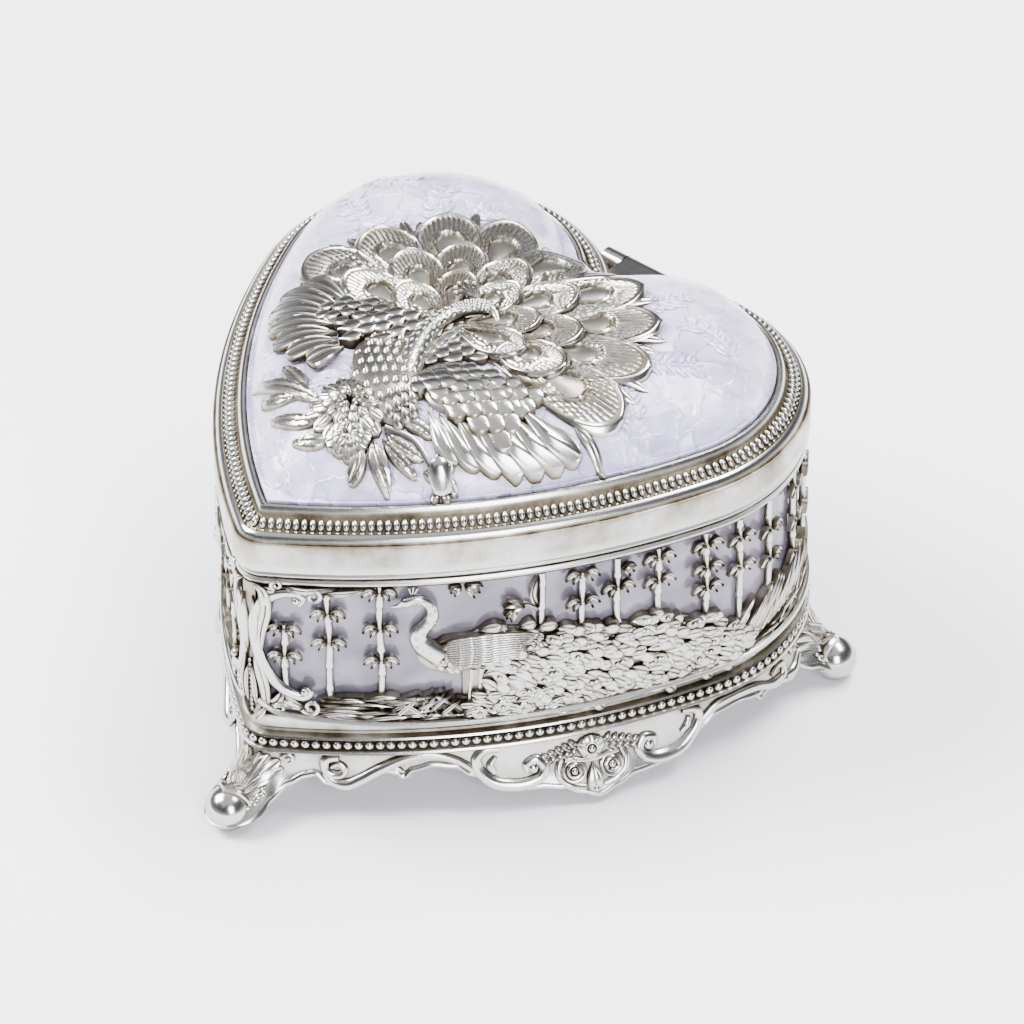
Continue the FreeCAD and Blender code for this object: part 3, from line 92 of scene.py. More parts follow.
# ------------------------------------------------------------------ heights, millimetres
PART_Z = float(LID_LOW[2])  # where lid and case part
DOME_BASE = float(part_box("lid_enamel")[0][2]) / MM
BAND_HEIGHT = 5.7
BAND_TOP = PART_Z + BAND_HEIGHT
FLANGE_TOP = 16.5
PLATE_TOP = 12.5
ENAMEL_EDGE = 5.6  # from the band's face in to the enamel
ENAMEL_THICK = 0.6
DOME_SPAN = 16.0  # from the enamel's edge in to full height
DOME_RISE = 9.4
DOME_POWER = 1.8
SOFT_VALLEY = 2.5  # rounding of the valley between the lobes
HEART_MIDDLE = np.array([0.0, -8.0])  # where rings round the heart run together
NEAR_MIDDLE = 0.985  # how far in the last ring of a face lies


def heart_arcs(inset):
    """The right half of the outline as (centre x, centre y, radius, first angle, last angle, bulge)."""
    side_r, lobe_r = SIDE_R - inset, LOBE_R - inset
    tip_r, cleft_r = max(TIP_R - inset, SMALLEST_ROUND), CLEFT_R + inset
    tip_y = SIDE_Y - math.sqrt((side_r - tip_r) ** 2 - SIDE_X**2)
    cleft_y = math.sqrt((lobe_r + cleft_r) ** 2 - LOBE_X**2)
    tip_end, lobe_end = math.atan2(tip_y - SIDE_Y, -SIDE_X), math.atan2(cleft_y, -LOBE_X)
    return (
        (0, tip_y, tip_r, -math.pi / 2, tip_end, 1),
        (SIDE_X, SIDE_Y, side_r, tip_end, SIDE_END, 1),
        (LOBE_X, 0, lobe_r, SIDE_END, lobe_end, 1),
        (0, cleft_y, cleft_r, lobe_end, math.pi / 2, -1),
    )


def ring(inset):
    """Closed outline moved in by inset, from the tip round the right lobe; always the same number of
    points.
    """
    turns = []
    for (cx, cy, r, first, last, bulge), steps in zip(heart_arcs(inset), ARC_STEPS):
        a = np.linspace(first, last, steps + 1)[:-1]
        turns.append(np.stack([cx + bulge * r * np.cos(a), cy + bulge * r * np.sin(a)], 1))
    cx, cy, r = heart_arcs(inset)[3][:3]
    turns.append(np.array([[0, cy - r]]))
    right = np.concatenate(turns)
    left = right[1:-1][::-1] * (-1, 1)
    return np.concatenate([right, left])


OUTER_ARCS = heart_arcs(0)
ARC_LENGTHS = [abs(last - first) * r for _, _, r, first, last, _ in OUTER_ARCS]
ARC_ENDS = np.cumsum(ARC_LENGTHS)
HALF_ROUND = float(ARC_ENDS[-1])


def outline(s, out=0.0):
    """Points and outward directions at s along the wall from the tip, left of it when negative, out
    off the band's face.
    """
    s, out = np.broadcast_arrays(np.asarray(s, float), np.asarray(out, float))
    mirror = np.where(s < 0, -1.0, 1.0)
    d = np.minimum(np.abs(s), HALF_ROUND)
    x, y, nx, ny = (np.zeros(s.shape) for _ in range(4))
    start = 0.0
    for (cx, cy, r, first, last, bulge), length, end in zip(OUTER_ARCS, ARC_LENGTHS, ARC_ENDS):
        here = (d >= start) & (d <= end + 1e-9)
        a = first + (last - first) * (d - start) / length
        x = np.where(here, cx + bulge * r * np.cos(a), x)
        y = np.where(here, cy + bulge * r * np.sin(a), y)
        nx, ny = np.where(here, np.cos(a), nx), np.where(here, np.sin(a), ny)
        start = end
    return mirror * (x + nx * out), y + ny * out, mirror * nx, ny


def towards_middle(rim, count, crowding):
    """Copies of a ring that shrink towards the heart's middle, crowded near the rim."""
    inwards = np.linspace(0, 1, count) ** crowding * NEAR_MIDDLE
    return HEART_MIDDLE + (rim - HEART_MIDDLE) * (1 - inwards)[:, None, None]


def inside_half(x, y):
    """Distance inside the right-hand half's outline."""
    side = SIDE_R - np.hypot(x - SIDE_X, y - SIDE_Y)
    cleft_y, lobe_end = OUTER_ARCS[3][1], OUTER_ARCS[2][4]
    angle = np.arctan2(y, x - LOBE_X)
    on_lobe = (angle >= SIDE_END) & (angle <= lobe_end)
    return np.where(
        on_lobe, LOBE_R - np.hypot(x - LOBE_X, y), np.minimum(side, np.hypot(x, y - cleft_y) - CLEFT_R)
    )


def dome(x, y):
    """Height of the enamel's face over the table."""
    a, b = inside_half(x, y), inside_half(-x, y)
    low = np.minimum(a, b)
    depth = low - SOFT_VALLEY * np.log(np.exp((low - a) / SOFT_VALLEY) + np.exp((low - b) / SOFT_VALLEY))
    t = np.clip((depth - ENAMEL_EDGE - ENAMEL_THICK) / DOME_SPAN, 0, 1)
    return DOME_BASE + ENAMEL_THICK + DOME_RISE * (1 - (1 - t) ** DOME_POWER) ** (1 / DOME_POWER)


# ------------------------------------------------------------------ where relief lies
def on_lid(points):
    """(x, y, height) over the dome to the row frame, in millimetres."""
    x, y, h = points[:, 0], points[:, 1], points[:, 2]
    return np.stack([x, y + SHIFT_Y, dome(x, y) + h], 1)


def on_wall(points):
    """(s, z, height) off the band's face to the row frame, in millimetres."""
    x, y, _, _ = outline(points[:, 0], points[:, 2])
    return np.stack([x, y + SHIFT_Y, points[:, 1]], 1)


def in_place(points):
    """Millimetres in the row frame, as they are."""
    return points


# ------------------------------------------------------------------ mesh building
BEAD_ROWS, BEAD_SIDES = 5, 8


class Casting:
    """Closed surfaces collected in millimetres and made into one object. Each vertex has a tarnish, 0
    bright to 1 dark.
    """

    def __init__(self, place=in_place):
        self.place, self.count = place, 0
        self.points, self.tarnish, self.faces = [], [], []
        self.side_tone = 1.0

    def put(self, points, tarnish, faces):
        """Adds a surface: points on the casting's own face, and faces that count from its first point."""
        points = np.asarray(points, float).reshape(-1, 3)
        self.points.append(self.place(points))
        self.tarnish.append(np.broadcast_to(np.asarray(tarnish, float).reshape(-1), (len(points),)).copy())
        self.faces += [np.asarray(f, int) + self.count for f in faces]
        self.count += len(points)

    def plate(self, u, v, h, base=0.0, tarnish=None):
        """A relief element: a grid of heights with upright edges down to base."""
        rows, cols = h.shape
        base = np.broadcast_to(np.asarray(base, float), h.shape)
        if tarnish is None:
            spread = max(float(np.ptp(h)), 1e-6)
            tarnish = 0.75 * (1 - (h - h.min()) / spread) ** 2
        top = np.stack([u, v, h], -1).reshape(-1, 3)
        left = np.stack([u[:, 0], v[:, 0], base[:, 0]], -1)
        right = np.stack([u[:, -1], v[:, -1], base[:, -1]], -1)
        n = rows * cols
        grid = np.arange(n).reshape(rows, cols)
        a, b = n + np.arange(rows), n + rows + np.arange(rows)
        quads = [
            np.stack([grid[:-1, :-1], grid[1:, :-1], grid[1:, 1:], grid[:-1, 1:]], -1).reshape(-1, 4),
            np.stack([a[:-1], a[1:], grid[1:, 0], grid[:-1, 0]], -1),
            np.stack([grid[:-1, -1], grid[1:, -1], b[1:], b[:-1]], -1),
            np.stack([b[:-1], b[1:], a[1:], a[:-1]], -1),
            np.array([[a[0], *grid[0], b[0]]]),
            np.array([[b[-1], *grid[-1][::-1], a[-1]]]),
        ]
        tone = np.concatenate([np.broadcast_to(tarnish, h.shape).ravel(), np.full(2 * rows, self.side_tone)])
        self.put(np.concatenate([top, left, right]), tone, quads)

    def tube(self, path, radius, sides=8, tarnish=0.0, flat=1.0, closed=False):
        """A round bar along a path; flat squeezes it across the surface."""
        path = np.asarray(path, float)
        n = len(path)
        radius = np.broadcast_to(np.asarray(radius, float), (n,))
        if closed:
            along = np.roll(path, -1, 0) - np.roll(path, 1, 0)
        else:
            along = np.gradient(path, axis=0)
        along /= np.maximum(np.linalg.norm(along, axis=1, keepdims=True), 1e-9)
        aside = np.cross(along, (0, 0, 1))
        size = np.linalg.norm(aside, axis=1, keepdims=True)
        aside = np.where(size > 0.05, aside / np.maximum(size, 1e-9), (1, 0, 0))
        lift = np.cross(aside, along)
        turn = np.arange(sides) * 2 * math.pi / sides
        round_ = (
            np.cos(turn)[None, :, None] * aside[:, None]
            + flat * np.sin(turn)[None, :, None] * lift[:, None]
        )
        points = path[:, None] + radius[:, None, None] * round_
        grid = np.arange(n * sides).reshape(n, sides)
        nxt = np.roll(grid, -1, 1)
        if closed:
            far, far_nxt = np.roll(grid, -1, 0), np.roll(nxt, -1, 0)
            quads = [np.stack([grid, nxt, far_nxt, far], -1).reshape(-1, 4)]
        else:
            quads = [np.stack([grid[:-1], nxt[:-1], nxt[1:], grid[1:]], -1).reshape(-1, 4)]
            quads += [grid[0][None, ::-1], grid[-1][None]]
        shade = np.repeat(np.broadcast_to(np.asarray(tarnish, float), (n,)), sides)
        low = np.tile(np.sin(turn) < -0.3, n)
        self.put(points, np.where(low, np.maximum(shade, 0.8), shade), quads)

    def beads(self, centres, axes, tarnish=0.0):
        """Ellipsoids at centres, each with its three half-axes as rows of axes."""
        centres = np.asarray(centres, float).reshape(-1, 3)
        axes = np.broadcast_to(np.asarray(axes, float), (len(centres), 3, 3))
        lift = np.linspace(-math.pi / 2, math.pi / 2, BEAD_ROWS + 2)[1:-1]
        turn = np.arange(BEAD_SIDES) * 2 * math.pi / BEAD_SIDES
        shell = np.stack(
            [
                np.outer(np.cos(lift), np.cos(turn)), np.outer(np.cos(lift), np.sin(turn)),
                np.outer(np.sin(lift), np.ones(BEAD_SIDES))
            ], -1
        ).reshape(-1, 3)
        shell = np.concatenate([shell, [[0, 0, -1], [0, 0, 1]]])
        grid = np.arange(BEAD_ROWS * BEAD_SIDES).reshape(BEAD_ROWS, BEAD_SIDES)
        nxt = np.roll(grid, -1, 1)
        low, high = BEAD_ROWS * BEAD_SIDES, BEAD_ROWS * BEAD_SIDES + 1
        quads = np.stack([grid[:-1], nxt[:-1], nxt[1:], grid[1:]], -1).reshape(-1, 4)
        tris = np.concatenate(
            [
                np.stack([nxt[0], grid[0], np.full(BEAD_SIDES, low)], -1),
                np.stack([grid[-1], nxt[-1], np.full(BEAD_SIDES, high)], -1),
            ]
        )
        points = centres[:, None] + shell @ axes
        step = np.arange(len(centres))[:, None, None] * len(shell)
        tone = np.maximum(tarnish, 0.9 * np.clip(-shell[:, 2] * 1.4 + 0.2, 0, 1))
        self.put(
            points.reshape(-1, 3),
            np.tile(tone, len(centres)),
            [(quads + step).reshape(-1, 4), (tris + step).reshape(-1, 3)],
        )

    def skin(self, face, back):
        """A closed skin of rings round the heart, its face and back joined at their first rings."""
        cols = face.shape[1]
        front = np.arange(len(face) * cols).reshape(len(face), cols)
        rear = np.arange(len(back) * cols).reshape(len(back), cols) + front.size
        front_nxt, rear_nxt = np.roll(front, -1, 1), np.roll(rear, -1, 1)
        self.put(
            np.concatenate([face.reshape(-1, 3), back.reshape(-1, 3)]),
            0.0,
            [
                np.stack([front[:-1], front_nxt[:-1], front_nxt[1:], front[1:]], -1).reshape(-1, 4),
                np.stack([rear[:-1], rear[1:], rear_nxt[1:], rear_nxt[:-1]], -1).reshape(-1, 4),
                np.stack([front[0], rear[0], rear_nxt[0], front_nxt[0]], -1),
                front[-1][None],
                rear[-1][None],
            ],
        )

    def hoop(self, profile, tarnish):
        """A closed cross-section of (inset, height) swept round the heart."""
        rings = [np.column_stack([ring(inset), np.full(len(ring(0)), z)]) for inset, z in profile]
        points = np.array(rings)
        points[:, :, 1] += SHIFT_Y
        rows, cols = points.shape[:2]
        grid = np.arange(rows * cols).reshape(rows, cols)
        nxt, far = np.roll(grid, -1, 1), np.roll(grid, -1, 0)
        quads = np.stack([grid, nxt, np.roll(nxt, -1, 0), far], -1).reshape(-1, 4)
        place, self.place = self.place, in_place
        self.put(points, np.repeat(np.asarray(tarnish, float), cols), [quads])
        self.place = place

    def block(self, front, back, tone_front=0.0, tone_back=0.6):
        """A slab between two point grids of one size, closed all round."""
        rows, cols = front.shape[:2]
        n = rows * cols
        f = np.arange(n).reshape(rows, cols)
        b = f + n
        quads = [
            np.stack([f[:-1, :-1], f[:-1, 1:], f[1:, 1:], f[1:, :-1]], -1).reshape(-1, 4),
            np.stack([b[:-1, :-1], b[1:, :-1], b[1:, 1:], b[:-1, 1:]], -1).reshape(-1, 4),
        ]
        for x, y in (
            (f[0], b[0]), (f[-1][::-1], b[-1][::-1]), (f[::-1, 0], b[::-1, 0]), (f[:, -1], b[:, -1])
        ):
            quads.append(np.stack([x[:-1], y[:-1], y[1:], x[1:]], -1))
        tone = np.concatenate(
            [
                np.broadcast_to(tone_front, (rows, cols)).ravel(),
                np.broadcast_to(tone_back, (rows, cols)).ravel()
            ]
        )
        self.put(np.concatenate([front.reshape(-1, 3), back.reshape(-1, 3)]), tone, quads)

    def make(self, name, material, body, nodes=(), crease=42.0):
        """The finished object, in metres, riding on its CAD body."""
        mesh = bpy.data.meshes.new(name)
        points = np.concatenate(self.points) * MM
        loops = np.concatenate([f.ravel() for f in self.faces])
        sizes = np.concatenate([np.full(len(f), f.shape[1]) for f in self.faces])
        mesh.vertices.add(len(points))
        mesh.vertices.foreach_set("co", points.ravel())
        mesh.loops.add(len(loops))
        mesh.loops.foreach_set("vertex_index", loops)
        mesh.polygons.add(len(sizes))
        mesh.polygons.foreach_set("loop_start", np.concatenate([[0], np.cumsum(sizes)[:-1]]))
        mesh.polygons.foreach_set("loop_total", sizes)
        mesh.update(calc_edges=True)
        mesh.attributes.new("tarnish", "FLOAT", "POINT").data.foreach_set(
            "value", np.concatenate(self.tarnish).astype(np.float32)
        )
        shell = bmesh.new()
        shell.from_mesh(mesh)
        bmesh.ops.recalc_face_normals(shell, faces=shell.faces)
        shell.to_mesh(mesh)
        shell.free()
        mesh.polygons.foreach_set("use_smooth", np.ones(len(mesh.polygons), bool))
        mesh.set_sharp_from_angle(angle=math.radians(crease))
        mesh.materials.append(material)
        piece = bpy.data.objects.new(name, mesh)
        bpy.context.scene.collection.objects.link(piece)
        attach(piece, body)
        if nodes:
            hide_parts(*nodes)
        return piece


# ------------------------------------------------------------------ lines and outlines in the surface
def smooth_path(knots, count):
    """A Catmull-Rom line through the knots, of any dimension."""
    knots = np.asarray(knots, float)
    ends = np.concatenate([[2 * knots[0] - knots[1]], knots, [2 * knots[-1] - knots[-2]]])
    t = np.linspace(0, len(knots) - 1 - 1e-9, count)
    k = t.astype(int)
    f = (t - k)[:, None]
    a, b, c, d = ends[k], ends[k + 1], ends[k + 2], ends[k + 3]
    return 0.5 * (2 * b + (c - a) * f + (2 * a - 5 * b + 4 * c - d) * f**2 + (3 * b - a - 3 * c + d) * f**3)


def eased(x, y, at):
    """A value read from a table, with rounded steps between its entries."""
    at = np.asarray(at, float)
    k = np.clip(np.searchsorted(x, at, side="right") - 1, 0, len(x) - 2)
    x, y = np.asarray(x, float), np.asarray(y, float)
    f = np.clip((at - x[k]) / (x[k + 1] - x[k]), 0, 1)
    f = f * f * (3 - 2 * f)
    return y[k] + (y[k + 1] - y[k]) * f


def volute(u, v, radius, start, turns, count=40, tail=0.25):
    """A spiral line winding in to (u, v) from an angle in degrees; negative turns wind clockwise."""
    t = np.linspace(0, 1, count)
    r = radius * (1 - (1 - tail) * t)
    a = np.radians(start) + turns * 2 * math.pi * t
    return np.stack([u + r * np.cos(a), v + r * np.sin(a)], 1)


def heading(a):
    """A unit step along the surface at an angle in radians."""
    return np.array([math.cos(a), math.sin(a)])


def at_height(path, height):
    """A flat line with a height added."""
    return np.column_stack([path, np.broadcast_to(height, (len(path),))])


def frame_along(path):
    """Unit tangent and left-hand normal of a flat line."""
    along = np.gradient(path, axis=0)
    along /= np.maximum(np.linalg.norm(along, axis=1, keepdims=True), 1e-9)
    return along, np.stack([-along[:, 1], along[:, 0]], 1)


def leaf(
    casting, knots, width, low, high, rows=14, cols=9, blunt=0.35, ribs=0.0, vein=0.25, edge=0.0, base=None,
    tilt=0.0, swell=0.65
):
    """A leaf, petal or blade: widest at blunt of its length, with a vein, side ribs and a raised edge."""
    path = smooth_path(knots, rows)
    _, across = frame_along(path)
    t = np.linspace(0, 1, rows)
    shape = np.where(
        t < blunt, np.sin(np.pi / 2 * np.clip(t / blunt, 0, 1)),
        np.sqrt(np.clip(1 - ((t - blunt) / (1 - blunt)) ** 2, 0, 1))
    )
    shape = np.maximum(shape, 0.06)
    q = np.linspace(-1, 1, cols)
    u = path[:, :1] + across[:, :1] * (shape * width)[:, None] * q
    v = path[:, 1:] + across[:, 1:] * (shape * width)[:, None] * q
    rise = low + (high - low) * np.sin(np.pi * np.clip(t, 0.04, 0.96)) ** 0.7
    crown = np.sqrt(np.clip(1 - 0.85 * q**2, 0, 1))
    h = rise[:, None] * (1 - swell + swell * crown) + tilt * (t[:, None] - 0.5)
    h = h - vein * np.exp(-((q / 0.16) ** 2)) * (high - low)
    h = h + edge * np.exp(-(((np.abs(q) - 0.86) / 0.12) ** 2))
    h = h + ribs * np.cos(2 * np.pi * (rows / 3.0) * (t[:, None] - 0.35 * np.abs(q)))
    tone = np.clip(
        0.55 * np.abs(q) ** 3 + 0.75 * np.exp(-((q / 0.14) ** 2)) * (vein > 0), 0, 1
    ) * np.ones((rows, 1))
    casting.plate(u, v, h, low - 0.6 if base is None else base, tone)


# ------------------------------------------------------------------ materials
def linear(code):
    """An sRGB hex colour as linear RGBA."""
    parts = [int(code[i : i + 2], 16) / 255 for i in (1, 3, 5)]
    return tuple(c / 12.92 if c <= 0.04045 else ((c + 0.055) / 1.055) ** 2.4 for c in parts) + (1.0,)


def add_node(tree, kind, settings=None, inputs=None):
    """A node with its settings, its input values and the links into it."""
    node = tree.nodes.new(kind)
    for name, value in (settings or {}).items():
        setattr(node, name, value)
    for name, value in (inputs or {}).items():
        socket = node.inputs[name]
        if isinstance(value, bpy.types.NodeSocket):
            tree.links.new(value, socket)
        else:
            socket.default_value = value
    return node


def new_material(name):
    """An empty material, with its tree and its shader."""
    material = bpy.data.materials.new(name)
    material.use_nodes = True
    tree = material.node_tree
    return material, tree, tree.nodes["Principled BSDF"]


def plated_casting(name, bright, tarnish, rough, mottle_mm, depth_mm):
    """Silver-plated zinc alloy, polished on the high spots, with brown oxide left in the hollows by
    the antiquing wash.
    """
    material, tree, shader = new_material(name)
    place = add_node(tree, "ShaderNodeTexCoord").outputs["Object"]
    worn = add_node(tree, "ShaderNodeAttribute", {"attribute_name": "tarnish"}).outputs["Fac"]
    cloud = add_node(
        tree, "ShaderNodeTexNoise", None,
        {"Vector": place, "Scale": 1 / (mottle_mm * MM), "Detail": 4.0, "Roughness": 0.6}
    )
    grain = add_node(
        tree, "ShaderNodeTexNoise", None, {"Vector": place, "Scale": 1 / (0.35 * MM), "Detail": 2.0}
    )
    hollow = add_node(tree, "ShaderNodeAmbientOcclusion", {"samples": 6}, {"Distance": depth_mm * MM})
    shut = add_node(
        tree, "ShaderNodeMapRange", None,
        {"Value": hollow.outputs["AO"], "From Min": 0.9, "From Max": 0.35, "To Min": 0.0, "To Max": 1.0}
    )
    mottled = add_node(
        tree, "ShaderNodeMapRange", None,
        {"Value": cloud.outputs["Fac"], "From Min": 0.3, "From Max": 0.72, "To Min": 0.45, "To Max": 1.3}
    )
    both = add_node(tree, "ShaderNodeMath", {"operation": "MAXIMUM"}, {0: worn, 1: shut.outputs["Result"]})
    amount = add_node(
        tree, "ShaderNodeMath", {"operation": "MULTIPLY", "use_clamp": True},
        {0: both.outputs[0], 1: mottled.outputs["Result"]}
    )
    ramp = add_node(tree, "ShaderNodeValToRGB", None, {"Fac": amount.outputs[0]})
    ramp.color_ramp.elements[0].position = 0.12
    ramp.color_ramp.elements[0].color = bright
    ramp.color_ramp.elements[1].position = 0.95
    ramp.color_ramp.elements[1].color = tarnish
    middle = ramp.color_ramp.elements.new(0.5)
    middle.color = linear("#7C7363")
    shine = add_node(
        tree, "ShaderNodeMapRange", None, {"Value": amount.outputs[0], "To Min": rough, "To Max": 0.55}
    )
    speckle = add_node(
        tree, "ShaderNodeMath", {"operation": "MULTIPLY_ADD"},
        {0: grain.outputs["Fac"], 1: 0.1, 2: shine.outputs["Result"]}
    )
    bump = add_node(
        tree, "ShaderNodeBump", None,
        {"Height": cloud.outputs["Fac"], "Strength": 0.25, "Distance": 0.05 * MM}
    )
    tree.links.new(ramp.outputs["Color"], shader.inputs["Base Color"])
    tree.links.new(speckle.outputs[0], shader.inputs["Roughness"])
    tree.links.new(bump.outputs["Normal"], shader.inputs["Normal"])
    shader.inputs["Metallic"].default_value = 1.0
    return material


def metal(name, colour, shade, rough, streak_mm):
    """A plain turned, pressed or plated metal with fine tool marks."""
    material, tree, shader = new_material(name)
    place = add_node(tree, "ShaderNodeTexCoord").outputs["Object"]
    marks = add_node(
        tree, "ShaderNodeTexNoise", None, {"Vector": place, "Scale": 1 / (streak_mm * MM), "Detail": 3.0}
    )
    cloud = add_node(
        tree, "ShaderNodeTexNoise", None, {"Vector": place, "Scale": 1 / (9 * MM), "Detail": 3.0}
    )
    tint = add_node(
        tree, "ShaderNodeMix", {"data_type": "RGBA"},
        {"Factor": cloud.outputs["Fac"], 6: linear(colour), 7: linear(shade)}
    )
    polish = add_node(
        tree, "ShaderNodeMapRange", None,
        {"Value": marks.outputs["Fac"], "To Min": rough * 0.7, "To Max": rough * 1.5}
    )
    bump = add_node(
        tree, "ShaderNodeBump", None,
        {"Height": marks.outputs["Fac"], "Strength": 0.2, "Distance": 0.03 * MM}
    )
    tree.links.new(tint.outputs[2], shader.inputs["Base Color"])
    tree.links.new(polish.outputs["Result"], shader.inputs["Roughness"])
    tree.links.new(bump.outputs["Normal"], shader.inputs["Normal"])
    shader.inputs["Metallic"].default_value = 1.0
    return material


def pearl_enamel(pearl, cloudy):
    """Pearl enamel, poured over the cast dome and fired: mica flake in clear lilac glaze gives milky
    clouds with a silky sheen under a glassy coat.
    """
    material, tree, shader = new_material("pearl_enamel")
    place = add_node(tree, "ShaderNodeTexCoord").outputs["Object"]
    drift = add_node(
        tree, "ShaderNodeTexNoise", None,
        {"Vector": place, "Scale": 1 / (14 * MM), "Detail": 4.0, "Distortion": 1.2}
    )
    swirl = add_node(
        tree, "ShaderNodeTexWave", {"wave_type": "RINGS", "rings_direction": "SPHERICAL"},
        {"Vector": place, "Scale": 1 / (17 * MM), "Distortion": 11.0, "Detail": 3.0, "Detail Scale": 1.4}
    )
    blend = add_node(
        tree, "ShaderNodeMath", {"operation": "MULTIPLY_ADD", "use_clamp": True},
        {0: swirl.outputs["Fac"], 1: 0.35, 2: drift.outputs["Fac"]}
    )
    ramp = add_node(tree, "ShaderNodeValToRGB", None, {"Fac": blend.outputs[0]})
    ramp.color_ramp.elements[0].position = 0.3
    ramp.color_ramp.elements[0].color = cloudy
    ramp.color_ramp.elements[1].position = 0.85
    ramp.color_ramp.elements[1].color = pearl
    flake = add_node(
        tree, "ShaderNodeTexNoise", None, {"Vector": place, "Scale": 1 / (0.9 * MM), "Detail": 3.0}
    )
    wander = add_node(
        tree, "ShaderNodeTexNoise", None, {"Vector": place, "Scale": 1 / (8 * MM), "Detail": 3.0}
    )
    strayed = add_node(
        tree, "ShaderNodeVectorMath", {"operation": "MULTIPLY_ADD"},
        {0: wander.outputs["Color"], 1: (9 * MM,) * 3, 2: place}
    )
    folds = add_node(
        tree, "ShaderNodeTexVoronoi", None, {"Vector": strayed.outputs["Vector"], "Scale": 1 / (6 * MM)}
    )
    creases = add_node(
        tree, "ShaderNodeTexVoronoi", {"feature": "DISTANCE_TO_EDGE"},
        {"Vector": strayed.outputs["Vector"], "Scale": 1 / (6 * MM)}
    )
    lean = add_node(
        tree, "ShaderNodeVectorMath", {"operation": "SUBTRACT"},
        {0: folds.outputs["Color"], 1: (0.5, 0.5, 0.5)}
    )
    across = add_node(
        tree, "ShaderNodeVectorMath", {"operation": "SUBTRACT"}, {0: place, 1: folds.outputs["Position"]}
    )
    facet = add_node(
        tree, "ShaderNodeVectorMath", {"operation": "DOT_PRODUCT"},
        {0: lean.outputs["Vector"], 1: across.outputs["Vector"]}
    )
    line = add_node(
        tree, "ShaderNodeMapRange", {"interpolation_type": "SMOOTHSTEP"},
        {
            "Value": creases.outputs["Distance"], "From Min": 0.0, "From Max": 0.07, "To Min": 0.25 * MM,
            "To Max": 0.0
        }
    )
    height = add_node(
        tree, "ShaderNodeMath", {"operation": "MULTIPLY_ADD"},
        {0: facet.outputs["Value"], 1: 0.9, 2: line.outputs["Result"]}
    )
    bump = add_node(
        tree, "ShaderNodeBump", None, {"Height": height.outputs[0], "Strength": 0.8, "Distance": 1.0}
    )
    gloss = add_node(
        tree, "ShaderNodeMapRange", None, {"Value": flake.outputs["Fac"], "To Min": 0.2, "To Max": 0.34}
    )
    # Painted shade: the enamel is mixed towards a darker lilac where ambient occlusion finds creases round
    # the raised leaves, so that the low relief shows.
    hollow = add_node(tree, "ShaderNodeAmbientOcclusion", {"samples": 6}, {"Distance": 1.1 * MM})
    painted_crease_shade = add_node(
        tree, "ShaderNodeMapRange", None,
        {"Value": hollow.outputs["AO"], "From Min": 1.0, "From Max": 0.45, "To Max": 0.75}
    )
    glaze = add_node(
        tree, "ShaderNodeMix", {"data_type": "RGBA"},
        {"Factor": painted_crease_shade.outputs["Result"], 6: ramp.outputs["Color"], 7: linear("#A79FCB")}
    )
    tree.links.new(glaze.outputs[2], shader.inputs["Base Color"])
    tree.links.new(bump.outputs["Normal"], shader.inputs["Normal"])
    tree.links.new(gloss.outputs["Result"], shader.inputs["Roughness"])
    shader.inputs["Metallic"].default_value = 0.12
    shader.inputs["IOR"].default_value = 1.5
    shader.inputs["Coat Weight"].default_value = 0.7
    shader.inputs["Coat Roughness"].default_value = 0.05
    shader.inputs["Subsurface Weight"].default_value = 0.15
    shader.inputs["Subsurface Radius"].default_value = (0.002, 0.0018, 0.0022)
    shader.inputs["Sheen Weight"].default_value = 0.2
    return material


def tinted_acrylic(colour, deep):
    """Tinted acrylic sheet with a foil back: cut flat and bent round the wall, so that it shines like
    lavender glass. Its lavender tint is its own; the soft lighter and darker patches over it are painted
    reflection.
    """
    material, tree, shader = new_material("tinted_acrylic")
    place = add_node(tree, "ShaderNodeTexCoord").outputs["Object"]
    drift = add_node(
        tree, "ShaderNodeTexNoise", None,
        {"Vector": place, "Scale": 1 / (9 * MM), "Detail": 2.0, "Distortion": 0.6}
    )
    # Painted reflection: noise patches between the deep and the light colour stand in for blurred
    # reflections on the glossy sheet.
    ramp = add_node(tree, "ShaderNodeValToRGB", None, {"Fac": drift.outputs["Fac"]})
    ramp.color_ramp.elements[0].position = 0.3
    ramp.color_ramp.elements[0].color = deep
    ramp.color_ramp.elements[1].position = 0.7
    ramp.color_ramp.elements[1].color = colour
    bump = add_node(
        tree, "ShaderNodeBump", None,
        {"Height": drift.outputs["Fac"], "Strength": 0.3, "Distance": 0.3 * MM}
    )
    tree.links.new(ramp.outputs["Color"], shader.inputs["Base Color"])
    tree.links.new(bump.outputs["Normal"], shader.inputs["Normal"])
    shader.inputs["Roughness"].default_value = 0.18
    shader.inputs["Metallic"].default_value = 0.25
    shader.inputs["IOR"].default_value = 1.49
    shader.inputs["Coat Weight"].default_value = 0.35
    shader.inputs["Coat Roughness"].default_value = 0.04
    return material


